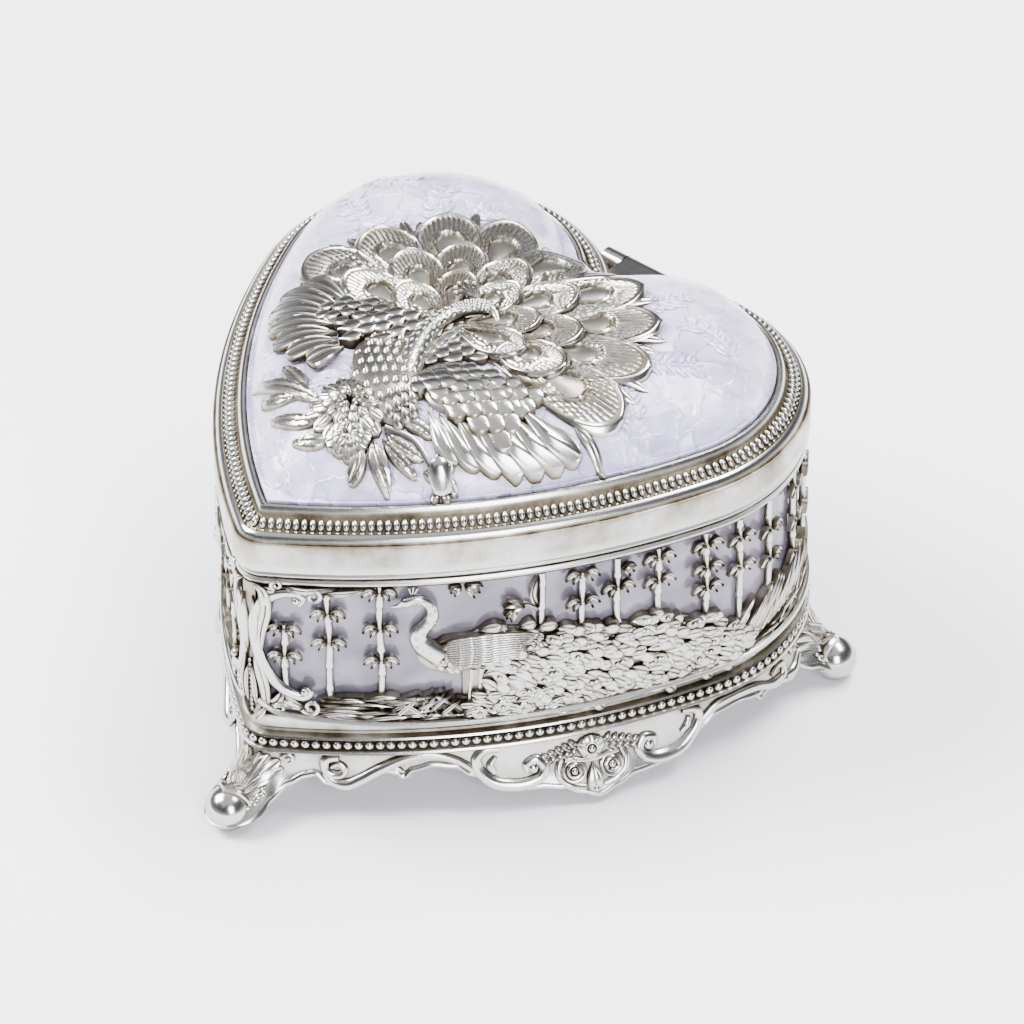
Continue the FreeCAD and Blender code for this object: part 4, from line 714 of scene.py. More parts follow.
def velvet(name, colour, dark):
    """Velvet: short upright pile, dark looked straight into and pale along its edges, with brushed
    patches painted lighter and darker as light and shade on the nap. The 0.25 mm pile is drawn at 0.5 mm
    so that it shows.
    """
    material, tree, shader = new_material(name)
    place = add_node(tree, "ShaderNodeTexCoord").outputs["Object"]
    pile = add_node(
        tree, "ShaderNodeTexNoise", None, {"Vector": place, "Scale": 1 / (0.5 * MM), "Detail": 2.0}
    )
    brushed = add_node(
        tree, "ShaderNodeTexNoise", None,
        {"Vector": place, "Scale": 1 / (12 * MM), "Detail": 3.0, "Distortion": 0.8}
    )
    mixed = add_node(
        tree, "ShaderNodeMath", {"operation": "MULTIPLY_ADD", "use_clamp": True},
        {0: pile.outputs["Fac"], 1: 0.5, 2: -0.25}
    )
    summed = add_node(
        tree, "ShaderNodeMath", {"operation": "ADD", "use_clamp": True},
        {0: mixed.outputs[0], 1: brushed.outputs["Fac"]}
    )
    # Painted light and shade: the brushed patches run between the lit velvet colour and its shade colour.
    ramp = add_node(tree, "ShaderNodeValToRGB", None, {"Fac": summed.outputs[0]})
    ramp.color_ramp.elements[0].position = 0.25
    ramp.color_ramp.elements[0].color = dark
    ramp.color_ramp.elements[1].position = 0.8
    ramp.color_ramp.elements[1].color = colour
    bump = add_node(
        tree, "ShaderNodeBump", None,
        {"Height": pile.outputs["Fac"], "Strength": 0.6, "Distance": 0.15 * MM}
    )
    tree.links.new(ramp.outputs["Color"], shader.inputs["Base Color"])
    tree.links.new(bump.outputs["Normal"], shader.inputs["Normal"])
    shader.inputs["Roughness"].default_value = 0.95
    shader.inputs["Sheen Weight"].default_value = 0.8
    shader.inputs["Sheen Roughness"].default_value = 0.35
    shader.inputs["Sheen Tint"].default_value = linear("#D8CCE8")
    return material


MATERIALS = {}


def studio_floor():
    """Matt paper sweep, pale and faintly cool."""
    material, _, shader = new_material("paper_sweep")
    shader.inputs["Base Color"].default_value = linear("#FAFBFF")
    shader.inputs["Roughness"].default_value = 0.9
    shader.inputs["Emission Color"].default_value = linear("#F4F5FF")
    shader.inputs["Emission Strength"].default_value = 0.14
    return material


# ------------------------------------------------------------------ lid
LID_PROFILE = (
    (0.5, PART_Z, 0.9),
    (0.12, PART_Z + 0.08, 0.5),
    (0.0, PART_Z + 0.4, 0.12),
    (0.0, PART_Z + 2.0, 0.34),
    (0.0, PART_Z + 3.7, 0.36),
    (0.0, BAND_TOP - 0.45, 0.42),
    (0.12, BAND_TOP - 0.12, 0.5),
    (0.45, BAND_TOP - 0.05, 1.0),
    (0.52, BAND_TOP + 0.2, 0.7),
    (0.75, BAND_TOP + 0.75, 0.0),
    (1.1, BAND_TOP + 1.15, 0.0),
    (1.45, BAND_TOP + 1.3, 0.1),
    (1.7, BAND_TOP + 1.2, 0.7),
    (1.85, BAND_TOP + 1.05, 0.75),
    (2.9, BAND_TOP + 1.85, 0.85),
    (3.95, BAND_TOP + 2.75, 0.75),
    (4.1, BAND_TOP + 3.2, 0.7),
    (4.25, BAND_TOP + 3.75, 0.1),
    (4.55, BAND_TOP + 4.1, 0.0),
    (4.95, BAND_TOP + 4.15, 0.0),
    (5.35, BAND_TOP + 3.95, 0.2),
    (5.6, BAND_TOP + 3.6, 0.8),
    (6.4, BAND_TOP + 3.2, 0.8),
    (7.6, BAND_TOP + 1.8, 0.6),
    (2.3, BAND_TOP - 0.9, 0.6),
    (2.0, BAND_TOP - 1.3, 0.5),
    (2.0, PART_Z + 0.1, 0.5),
    (1.9, PART_Z, 0.8),
)
BEAD_PITCH = 1.3


def walk(inset, pitch, shift=0.0):
    """Evenly spaced places round the heart at an inset: points, forward directions and inward directions."""
    line = ring(inset)
    line = np.concatenate([line, line[:1]])
    run = np.concatenate([[0], np.cumsum(np.linalg.norm(np.diff(line, axis=0), axis=1))])
    count = int(round(run[-1] / pitch))
    at = (np.arange(count) + shift) * run[-1] / count
    points = np.stack([np.interp(at, run, line[:, 0]), np.interp(at, run, line[:, 1])], 1)
    ahead = np.stack(
        [
            np.interp((at + 0.5) % run[-1], run, line[:, 0]),
            np.interp((at + 0.5) % run[-1], run, line[:, 1])
        ],
        1
    )
    along = ahead - points
    along /= np.linalg.norm(along, axis=1, keepdims=True)
    return points, along, np.stack([-along[:, 1], along[:, 0]], 1)


def bead_row(casting, inset, z, pitch, half_sizes, tilt=0.0, shift=0.0):
    """Beads round the heart: half-lengths along, across and out of a face tilted up and inwards, in
    degrees.
    """
    points, along, inward = walk(inset, pitch, shift)
    c, s = math.cos(math.radians(tilt)), math.sin(math.radians(tilt))
    n = len(points)
    centre = np.column_stack([points[:, 0], points[:, 1] + SHIFT_Y, np.full(n, z)])
    first = np.column_stack([along, np.zeros(n)]) * half_sizes[0]
    second = np.column_stack([inward * c, np.full(n, s)]) * half_sizes[1]
    third = np.column_stack([-inward * s, np.full(n, c)]) * half_sizes[2]
    casting.beads(centre, np.stack([first, second, third], 1))


def colour_choice(name, description, code):
    """A colour that the panel offers, stored linear."""
    return bpy.props.FloatVectorProperty(
        name=name, description=description, default=linear(code)[:3], size=3, min=0, max=1, subtype="COLOR"
    )


def length_choice(name, description, default_mm, low_mm, high_mm):
    """A length that the panel offers, stored in metres."""
    size, low, high = default_mm * MM, low_mm * MM, high_mm * MM
    return bpy.props.FloatProperty(
        name=name, description=description, default=size, min=low, max=high, unit="LENGTH"
    )


class FinishSettings(bpy.types.PropertyGroup):
    """Colours of the finishes"""

    silver: colour_choice("Silver", "Polished plate on the high spots", "#C6C4BF")
    toning: colour_choice("Toning", "Antiquing wash left in the hollows", "#30261A")
    enamel: colour_choice("Enamel", "Pearl enamel where it is clear", "#DEDAF4")
    enamel_cloud: colour_choice("Enamel cloud", "Pearl enamel where the flake is thin", "#AEA8D2")
    # The liner's two colours are the ends of its painted reflection patches.
    liner: colour_choice("Liner", "Acrylic liner where it is light", "#8E8892")
    liner_shade: colour_choice("Liner shade", "Acrylic liner where it is deep", "#625D69")
    velvet: colour_choice("Velvet", "Velvet brushed towards the light", "#877C9E")
    velvet_shade: colour_choice("Velvet shade", "Velvet brushed away from the light", "#5A5070")


class BeadSettings(bpy.types.PropertyGroup):
    """Sizes of the bead rows"""

    lid_pitch: length_choice("Lid bead pitch", "Spacing of the beads round the lid", BEAD_PITCH, 0.8, 4.0)
    base_pitch: length_choice("Base bead pitch", "Spacing of the beads round the base", 1.7, 0.8, 4.0)
    base_radius: length_choice("Base bead radius", "Half-width of the beads round the base", 0.8, 0.3, 1.2)


def make_materials(choices):
    """Every finish, by what it is made of."""

    def colour(name):
        return (*getattr(choices, name), 1.0)

    MATERIALS["silver"] = MATERIALS["silver_plate"] = plated_casting(
        "silver_plated_zinc_alloy", colour("silver"), colour("toning"), 0.13, 7.0, 2.4
    )
    MATERIALS["enamel"] = MATERIALS["pearl_enamel"] = pearl_enamel(colour("enamel"), colour("enamel_cloud"))
    MATERIALS["tinted_acrylic"] = tinted_acrylic(colour("liner"), colour("liner_shade"))
    MATERIALS["velvet_pad"] = velvet("velvet_pad", colour("velvet"), colour("velvet_shade"))
    MATERIALS["velvet_flock"] = velvet("velvet_flock", colour("velvet"), colour("velvet_shade"))
    MATERIALS["pressed_tray"] = metal("pressed_tinplate", "#D8D6D2", "#BDBAB4", 0.3, 0.8)
    MATERIALS["plated_steel"] = metal("nickel_plated_steel", "#B4B0A8", "#8E8980", 0.3, 0.6)
    MATERIALS["zinc_casting"] = metal("zinc_die_casting", "#B4B2AE", "#97948F", 0.45, 0.4)
    MATERIALS["steel"] = metal("bright_steel", "#C9C8C6", "#A9A7A4", 0.28, 0.3)
    MATERIALS["brass"] = metal("brass", "#D9B768", "#B98F45", 0.3, 0.4)


class MUSICBOX_OT_materials(bpy.types.Operator):
    """Make the finishes that every piece uses"""

    bl_idname = "music_box.materials"
    bl_label = "Finishes"

    def execute(self, context):
        make_materials(context.scene.music_box_finishes)
        return {"FINISHED"}


class MUSICBOX_OT_lid_casting(bpy.types.Operator):
    """Build the cast rim of the lid with its bead rows"""

    bl_idname = "music_box.lid_casting"
    bl_label = "Lid casting"

    def execute(self, context):
        pitch = context.scene.music_box_beads.lid_pitch / MM
        rim = Casting()
        rim.hoop([p[:2] for p in LID_PROFILE], [p[2] for p in LID_PROFILE])
        rim.make("lid_rim", MATERIALS["silver"], "lid", ["lid_shell"], crease=30)
        row = Casting()
        bead_row(row, 2.95, BAND_TOP + 1.95, pitch, (0.62, 1.12, 0.75), tilt=39)
        bead_row(row, 1.95, BAND_TOP + 1.15, pitch, (0.42, 0.3, 0.32), tilt=39, shift=0.5)
        row.make("lid_beads", MATERIALS["silver"], "lid")
        return {"FINISHED"}


class MUSICBOX_OT_enamel(bpy.types.Operator):
    """Build the pillow of pearl enamel with its raised leaf pattern"""

    bl_idname = "music_box.enamel"
    bl_label = "Pearl enamel"

    def execute(self, context):
        flat = towards_middle(ring(ENAMEL_EDGE), 64, 1.7)
        face = np.stack([flat[..., 0], flat[..., 1] + SHIFT_Y, dome(flat[..., 0], flat[..., 1])], -1)
        pillow = Casting()
        pillow.skin(face, face - (0, 0, ENAMEL_THICK))
        pillow.make("enamel_pillow", MATERIALS["enamel"], "lid", ["lid_enamel"], crease=60)
        leaves = Casting(on_lid)
        draw = np.random.default_rng(7)
        for x0 in np.arange(-44, 45, 9.5):
            for y0 in np.arange(-60, 30, 9.5):
                x, y = x0 + draw.uniform(-2, 2), y0 + draw.uniform(-2, 2)
                turn, bend = draw.uniform(0, 2 * math.pi), draw.uniform(-0.5, 0.5)
                if min(inside_half(np.array(x), np.array(y)), inside_half(np.array(-x), np.array(y))) < 12.5:
                    continue
                enamel_sprig(leaves, x, y, turn, bend, draw)
        leaves.make("enamel_leaves", MATERIALS["enamel"], "lid", crease=60)
        return {"FINISHED"}


def enamel_sprig(casting, x, y, turn, bend, draw):
    """A curved stem with pairs of small leaves, barely proud of the enamel."""
    t = np.linspace(-5.5, 5.5, 18)
    c, s = math.cos(turn), math.sin(turn)
    side = bend * 0.12 * t**2
    stem = np.stack([x + c * t - s * side, y + s * t + c * side], 1)
    casting.tube(at_height(stem, -0.1), np.interp(t, (-5.5, 0, 5.5), (0.25, 0.42, 0.25)), sides=8)
    for k in range(2, 17, 3):
        for way in (-1, 1):
            a = turn + way * draw.uniform(0.6, 1.1) + bend * 0.2 * t[k]
            reach = draw.uniform(2.2, 3.6)
            tip = stem[k] + reach * heading(a)
            mid = (stem[k] + tip) / 2 + 0.3 * way * np.array([-math.sin(a), math.cos(a)])
            leaf(
                casting, [stem[k], mid, tip], reach * 0.3, 0.0, 0.42, rows=10, cols=9, vein=0.6, edge=0.1,
                base=-0.4
            )


# ------------------------------------------------------------------ peacock on the lid
TAIL_ROOT = np.array([1.0, -21.0])
# feather tips over the lid, left to right: outer, middle and inner rows
OUTER_TIPS = (
    (-31, -18.4), (-25.8, -8.0), (-19.2, 2.6), (-10.2, 9.9), (2.0, 10.0), (17.3, 8.4), (25.9, 2.6),
    (31.7, -6.7), (34.5, -16.9)
)
OUTER_EYES = (
    (-22.6, -21.5), (-19.8, -11.5), (-14.3, -2.6), (-6.1, 3.0), (1.2, 4.6), (9.5, 4.6), (17.9, -2.9),
    (23.0, -12.1), (26.5, -21.3)
)
MIDDLE_TIPS = (
    (-20.5, -20.5), (-17.3, -9.7), (-11.2, -2.2), (-1.2, 0.2), (10.6, 0.2), (18.6, -7.6), (22.6, -16.5)
)
INNER_TIPS = ((-11.5, -17.5), (-6.2, -8.6), (3.0, -5.6), (11.6, -9.8), (15.2, -17.6))


def feather(casting, root, eye, tip, width, low, high):
    """A tail feather: raised rim, comb of ribs up to the rim, and a drop-shaped eye pointing to the root."""
    rows, cols = 60, 45
    root, eye, tip = (np.asarray(p, float) for p in (root, eye, tip))
    axis = tip - root
    length = np.linalg.norm(axis)
    axis /= length
    across = np.array([-axis[1], axis[0]])
    at_eye = float((eye - root) @ axis) / length
    t = np.linspace(0, 1, rows) ** 0.9
    late = np.clip((t - at_eye) / (1 - at_eye), 0, 1)
    half = np.where(
        t < at_eye, 0.22 + 0.78 * np.sin(np.pi / 2 * np.clip(t / at_eye, 0, 1)) ** 1.1,
        np.sqrt(np.clip(1 - late**2.3, 0, 1))
    )
    half = np.maximum(half, 0.05) * width
    q = np.linspace(-1, 1, cols)
    c = half[:, None] * q
    p = (t - at_eye)[:, None] * length + 0 * c
    u = root[0] + axis[0] * (t * length)[:, None] + across[0] * c
    v = root[1] + axis[1] * (t * length)[:, None] + across[1] * c
    ahead = p + 0.12 * width
    taper = np.clip(1 + ahead / (1.9 * width), 0.05, 1)
    drop = np.where(ahead > 0, np.hypot(ahead, c), np.hypot(ahead * 0.28, c / taper)) / width
    edge = np.where(p > 0, np.sqrt((late[:, None]) ** 2 + (c / width) ** 2), np.abs(q) + 0 * c)
    fan = c / width / (1.15 + 0.35 * p / width)
    comb = np.cos(2 * np.pi * 9.5 * fan)
    spread = np.clip((drop - 0.5) / 0.08, 0, 1) * np.clip((0.84 - edge) / 0.05, 0, 1)
    rim = np.exp(-(((edge - 0.93) / 0.06) ** 2))
    outline = np.exp(-(((drop - 0.46) / 0.055) ** 2))
    boss = np.sqrt(np.clip(1 - (drop / 0.4) ** 2, 0, 1))
    h = low + (high - low) * t[:, None] + 0.45 * (1 - q**2)
    h = h + 0.14 * comb * spread + 0.34 * rim + 0.36 * outline + 0.3 * boss - 0.3 * (drop < 0.42)
    dark = (
        0.8 * np.clip(-comb, 0, 1) * spread + 0.95 * np.exp(-(((edge - 0.85) / 0.03) ** 2))
        + 0.35 * (drop < 0.42) + 0.6 * np.exp(-(((drop - 0.39) / 0.03) ** 2))
        + 0.9 * np.exp(-(((drop - 0.54) / 0.03) ** 2))
    )
    casting.plate(u, v, h, low - 0.9, np.clip(dark, 0, 1) * (1 - 0.8 * rim))


def scale_field(casting, start, end, left, right, rows, low, high, size, grow=1.0):
    """Overlapping scales from start to end, between the half-widths left and right."""
    start, end = np.asarray(start, float), np.asarray(end, float)
    axis = end - start
    length = np.linalg.norm(axis)
    axis /= length
    across = np.array([-axis[1], axis[0]])
    for k in range(rows):
        f = k / (rows - 1)
        reach = size * (1 + (grow - 1) * f)
        half = left + (right - left) * f
        count = max(1, int(round(2 * half / (reach * 1.15))))
        lift = low + (high - low) * math.sin(math.pi * (0.15 + 0.7 * f))
        for n in range(count):
            w = (n + 0.5 * (k % 2) - (count - 1) / 2 - 0.25) * reach * 1.15
            crown = lift * (1 - 0.55 * (w / (half + reach)) ** 2)
            place = start + axis * length * f + across * w
            leaf(
                casting, [place, place + axis * reach * 0.8, place + axis * reach * 1.7], reach * 0.64,
                crown - 0.1, crown + 0.15, rows=10, cols=9, blunt=0.66, vein=0.0, edge=0.14, base=-0.3,
                tilt=0.7, swell=0.25
            )


NECK = (
    (7.0, -37.2, 0.9), (3.4, -32.0, 1.5), (0.9, -26.6, 2.1), (-0.1, -21.8, 2.6), (0.6, -17.6, 3.0),
    (2.4, -14.8, 3.1), (4.6, -13.9, 2.9), (6.3, -14.6, 2.6), (7.4, -15.6, 2.2)
)
NECK_RADII = (0.6, 1.9, 2.0, 1.55, 1.3, 1.35, 1.2, 0.62, 0.15)


class MUSICBOX_OT_lid_peacock(bpy.types.Operator):
    """Build the cast peacock with its fanned tail, spread wings and crest"""

    bl_idname = "music_box.lid_peacock"
    bl_label = "Lid peacock"

    def execute(self, context):
        silver = MATERIALS["silver"]
        tail = Casting(on_lid)
        for tip, eye in zip(OUTER_TIPS, OUTER_EYES):
            tip, eye = np.array(tip), np.array(eye)
            feather(tail, TAIL_ROOT + 0.42 * (eye - TAIL_ROOT), eye, tip, 5.5, 0.2, 0.75)
        for a, b in zip(OUTER_TIPS[:-1], OUTER_TIPS[1:]):
            gap = (np.array(a) + np.array(b)) / 2 - TAIL_ROOT
            gap /= np.linalg.norm(gap)
            reach = (np.linalg.norm(np.array(a) - TAIL_ROOT) + np.linalg.norm(np.array(b) - TAIL_ROOT)) / 2
            for swing in (-0.045, 0.045):
                way = np.array(
                    [
                        gap[0] * math.cos(swing) - gap[1] * math.sin(swing),
                        gap[0] * math.sin(swing) + gap[1] * math.cos(swing)
                    ]
                )
                leaf(
                    tail,
                    [
                        TAIL_ROOT + way * (reach - 9), TAIL_ROOT + way * (reach - 4),
                        TAIL_ROOT + way * (reach + 0.2 + 12 * swing)
                    ],
                    1.1, 0.15, 0.8, vein=0.3, base=-0.3, swell=0.3
                )
        end = np.array([36.5, -23.6])
        leaf(tail, [(29.5, -23.0), (33.0, -23.0), end], 0.9, 0.15, 0.8, vein=0.3, base=-0.3)
        tail.make("peacock_tail_outer", silver, "lid", ["peacock_ornament"])
        inner = Casting(on_lid)
        for tips, back, width, low, high in (
            (MIDDLE_TIPS, 6.6, 4.5, 0.9, 1.45), (INNER_TIPS, 5.4, 3.7, 1.5, 1.95)
        ):
            for tip in tips:
                way = np.array(tip) - TAIL_ROOT
                way /= np.linalg.norm(way)
                eye = np.array(tip) - way * back
                feather(
                    inner, eye - way * min(6.5, np.linalg.norm(eye - TAIL_ROOT) * 0.8), eye, tip, width,
                    low, high
                )
        inner.make("peacock_tail_inner", silver, "lid")
        bed = Casting(on_lid)
        for tip in INNER_TIPS:
            leaf(
                bed, [TAIL_ROOT + (0, 3.0), (TAIL_ROOT + tip) / 2, tip], 4.6, 0.2, 1.1, rows=18, cols=11,
                vein=0.0, base=-0.3, swell=0.3
            )
        bed.make("peacock_tail_bed", silver, "lid")
        self.wings(silver)
        self.body(silver)
        return {"FINISHED"}

    def wings(self, silver):
        """Both wings, each with flat primaries under rows of coverts."""
        wings = Casting(on_lid)
        tips = (
            (-26.8, -24.2), (-28.2, -27.6), (-27.4, -31.2), (-24.4, -34.6), (-20.6, -37.8), (-15.8, -39.8),
            (-10.6, -40.6)
        )
        roots = (
            (-15.5, -25.4), (-14.9, -27.4), (-13.9, -29.4), (-12.6, -31.2), (-11.2, -32.8), (-9.6, -34.2),
            (-7.6, -35.2)
        )
        for k, (tip, root) in enumerate(zip(tips, roots)):
            tip, root = np.array(tip), np.array(root)
            leaf(
                wings, [root, (root + tip) / 2, tip], 2.35, 0.7 + 0.12 * k, 1.2 + 0.12 * k, rows=22,
                cols=13, blunt=0.78, vein=0.3, edge=0.18, swell=0.2
            )
        scale_field(wings, (-18.6, -29.6), (-9.0, -27.0), 2.4, 5.6, 6, 1.3, 2.3, 1.75, 1.15)
        scale_field(wings, (-11.0, -32.8), (-3.0, -24.4), 2.6, 4.4, 6, 1.5, 2.7, 2.1, 1.1)
        primaries_tips = (
            (20.6, -39.6), (23.4, -37.6), (25.9, -35.6), (28.2, -33.2), (30.2, -30.6), (31.9, -27.9),
            (33.2, -25.4)
        )
        primaries_roots = (
            (12.2, -37.6), (13.8, -36.8), (15.6, -35.5), (17.4, -34.0), (19.0, -32.2), (20.6, -30.2),
            (22.0, -28.0)
        )
        for k, (tip, root) in enumerate(zip(primaries_tips, primaries_roots)):
            tip, root = np.array(tip), np.array(root)
            sag = np.array([0.9, -1.1])
            leaf(
                wings, [root, (root + tip) / 2 + sag, tip], 1.7, 0.6 + 0.16 * k, 1.1 + 0.16 * k, rows=24,
                cols=13, blunt=0.66, vein=-0.4, edge=0.16, swell=0.2
            )
        scale_field(wings, (-3.5, -30.5), (3.5, -20.5), 3.6, 3.4, 7, 1.2, 1.6, 2.0, 1.1)
        scale_field(wings, (1.0, -28.0), (9.0, -19.5), 3.4, 4.0, 7, 1.2, 1.6, 2.0, 1.1)
        bank = Casting(on_lid)
        scale_field(bank, (5.6, -34.0), (20.6, -30.6), 2.4, 5.0, 9, 1.5, 2.6, 2.2, 1.15)
        scale_field(bank, (7.6, -29.4), (20.8, -26.6), 1.8, 2.2, 8, 1.6, 2.4, 2.0, 1.1)
        bed = np.array([(4.6, -33.8), (9.0, -31.6), (14.5, -30.4), (22.0, -28.4)])
        leaf(bank, bed, 5.4, 0.4, 2.1, rows=24, cols=13, blunt=0.5, vein=0.0, base=-0.4)
        wings.make("peacock_wings", silver, "lid")
        bank.make("peacock_coverts", silver, "lid")

    def body(self, silver):
        """The scaled breast, the turned-back neck and the crest."""
        bird = Casting(on_lid)
        trunk = np.array([(-5.0, -24.0), (-2.6, -29.0), (0.6, -34.0), (6.0, -39.2), (11.8, -40.8)])
        leaf(bird, trunk, 5.6, 0.5, 2.3, rows=30, cols=21, blunt=0.4, vein=0.0, base=-0.4)
        for k, knot in enumerate(smooth_path(trunk, 12)[:-1]):
            f = k / 11
            ahead = smooth_path(trunk, 12)[k + 1] - knot
            ahead /= np.linalg.norm(ahead)
            side = np.array([-ahead[1], ahead[0]])
            span = 5.0 * math.sin(math.pi * (0.16 + 0.74 * f))
            count = max(2, int(round(2 * span / 1.5)))
            for n in range(count):
                w = (n + 0.5 * (k % 2) - (count - 1) / 2 - 0.25) * 1.5
                crown = 2.6 * math.sqrt(
                    max(0.1, 1 - (w / (span + 1.4)) ** 2)
                ) * (0.8 + 0.2 * math.sin(math.pi * f))
                spot = knot + side * w
                leaf(
                    bird, [spot, spot + ahead * 1.0, spot + ahead * 2.1], 0.9, crown - 0.2, crown + 0.2,
                    rows=9, cols=7, blunt=0.62, vein=0.0, edge=0.06, base=0.0, tilt=-0.7
                )
        neck = smooth_path(NECK, 90)
        radii = smooth_path(np.column_stack([NECK_RADII, NECK_RADII]), 90)[:, 0]
        bird.tube(neck - (0, 0, 0.6), np.maximum(radii, 0.1), sides=22, tarnish=0.12, flat=0.85)
        for k in range(8, 66, 3):
            along = neck[k + 2] - neck[k]
            along /= np.linalg.norm(along)
            side = np.cross(along, (0, 0, 1))
            for turn in np.radians((-70, -42, -14, 14, 42, 70) if (k // 3) % 2 else (-56, -28, 0, 28, 56)):
                out = side * math.sin(turn) + np.cross(side, along) * math.cos(turn)
                spot = neck[k] - (0, 0, 0.6) + out * radii[k] * (0.96, 0.96, 0.86)
                bird.beads([spot], [along * 0.52, np.cross(along, out) * 0.32, out * 0.2], 0.2)
        eye = neck[72] + (0.1, 0.55, 0.75)
        bird.beads([eye], np.eye(3) * 0.3)
        for spread, reach in ((-26, 3.9), (-12, 4.6), (2, 5.0), (16, 4.7), (30, 4.0)):
            a = math.radians(172 - spread)
            start = np.array([2.0, -14.0])
            tip = start + reach * heading(a)
            bird.tube([(*start, 3.3), (*((start + tip) / 2), 3.7), (*tip, 3.5)], (0.22, 0.18, 0.14), sides=6)
            bird.beads([(*tip, 3.5)], np.eye(3) * 0.48)
        bird.make("peacock_body", silver, "lid")


# ------------------------------------------------------------------ flower spray on the lid
def blossom(casting, centre, radius, low, rings, draw, wide):
    """A full flower: rings of veined petals that stand steeper towards the middle."""
    centre = np.asarray(centre, float)
    for k, (count, reach, lift) in enumerate(rings):
        for n in range(count):
            a = 2 * math.pi * (n + 0.5 * (k % 2)) / count + draw.uniform(-0.12, 0.12)
            way = heading(a)
            start = centre + way * radius * reach * 0.18
            tip = centre + way * radius * reach * draw.uniform(0.94, 1.06)
            bow = np.array([-way[1], way[0]]) * draw.uniform(-0.3, 0.3)
            leaf(
                casting, [start, (start + tip) / 2 + bow, tip], radius * reach * wide * 9 / count,
                low + lift, low + lift + 0.6, rows=14, cols=11, blunt=0.7, vein=0.3, edge=0.2, ribs=0.0,
                base=low - 0.5, tilt=0.35
            )


class MUSICBOX_OT_flower_spray(bpy.types.Operator):
    """Build the peony, its leaves and the bud"""

    bl_idname = "music_box.flower_spray"
    bl_label = "Flower spray"

    def execute(self, context):
        draw = np.random.default_rng(3)
        spray = Casting(on_lid)
        lanes = (
            ((-1.6, -46.4), (-7.0, -45.6), (-11.6, -45.2), (-18.4, -45.0), 1.7),
            ((-6.2, -45.4), (-10.0, -43.6), (-14.8, -41.6), None, 1.6),
            ((-6.6, -46.6), (-11.0, -48.0), (-13.8, -47.6), None, 1.4),
            ((0.6, -49.2), (-3.4, -50.8), (-8.6, -51.2), None, 1.5),
            ((3.6, -50.2), (1.6, -52.6), (-1.6, -54.0), None, 1.3),
            ((7.2, -48.4), (9.2, -50.6), (9.4, -53.0), None, 1.6),
            ((8.6, -46.6), (11.6, -48.4), (14.6, -49.4), None, 1.7),
            ((9.6, -44.6), (13.0, -44.6), (16.4, -43.4), None, 1.25),
            ((9.8, -45.6), (13.2, -46.0), (17.0, -45.6), None, 1.1),
            ((9.2, -41.6), (12.6, -40.6), (15.6, -40.0), None, 1.4),
        )
        for *knots, width in lanes:
            leaf(
                spray, [k for k in knots if k is not None], width * 0.85, 0.4, 1.2, rows=24, cols=13,
                blunt=0.45, vein=0.4, edge=0.12, ribs=0.12, base=-0.5
            )
        spray.tube(at_height(smooth_path([(9.0, -44.0), (13.6, -42.6), (17.6, -43.4)], 16), 0.6), 0.42)
        blossom(
            spray, (2.4, -44.8), 7.0, 0.5,
            ((13, 1.0, 0.2), (12, 0.82, 0.8), (10, 0.62, 1.3), (8, 0.42, 1.7), (5, 0.24, 1.95)), draw,
            wide=0.26
        )
        blossom(
            spray, (5.6, -48.6), 3.6, 0.4, ((9, 1.0, 0.3), (7, 0.7, 0.8), (5, 0.42, 1.2)), draw, wide=0.34
        )
        spray.beads([(19.5, -43.0, 1.0)], [(1.9, 0.4, 0), (-0.35, 1.7, 0), (0, 0, 1.3)])
        for a in (20, 80, 140, 215, 280, 335):
            way = np.array([math.cos(math.radians(a)), math.sin(math.radians(a))])
            centre = np.array([19.6, -42.9])
            leaf(
                spray, [centre + way * 1.2, centre + way * 1.9, centre + way * 2.8], 0.7, 0.3, 0.9,
                vein=0.3, edge=0.1, base=-0.4
            )
        spray.make("peony_spray", MATERIALS["silver"], "lid", ["flower_spray"])
        return {"FINISHED"}


PAD_INSET, PAD_EDGE, PAD_ROLL = 2.05, 2.0, 4.5  # glued edge, where the swell starts, how far it rolls up


class MUSICBOX_OT_lid_pad(bpy.types.Operator):
    """Build the velvet pad inside the lid"""

    bl_idname = "music_box.lid_pad"
    bl_label = "Lid pad"

    def execute(self, context):
        low, high = (np.array(c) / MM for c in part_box("lid_pad"))
        flat = towards_middle(ring(PAD_INSET), 40, 1.4)
        near = (
            np.minimum(inside_half(flat[..., 0], flat[..., 1]), inside_half(-flat[..., 0], flat[..., 1]))
            - PAD_EDGE
        )
        puff = np.clip(near / PAD_ROLL, 0, 1)
        crown = (high[2] - low[2]) * (0.3 + 0.7 * np.sqrt(1 - (1 - puff) ** 2))
        pucker = 0.1 * np.sin(np.arange(flat.shape[1]) * 0.9)[None, :] * np.exp(-((near / 1.8) ** 2))
        face = np.stack([flat[..., 0], flat[..., 1] + SHIFT_Y, high[2] - crown + pucker], -1)
        back = np.stack([flat[..., 0], flat[..., 1] + SHIFT_Y, np.full(puff.shape, high[2])], -1)
        pad = Casting()
        pad.skin(face, back)
        piece = pad.make(
            "velvet_lid_pad", MATERIALS["velvet_pad"], "lid", ["lid_pad"], crease=70
        )
        return {"FINISHED"}


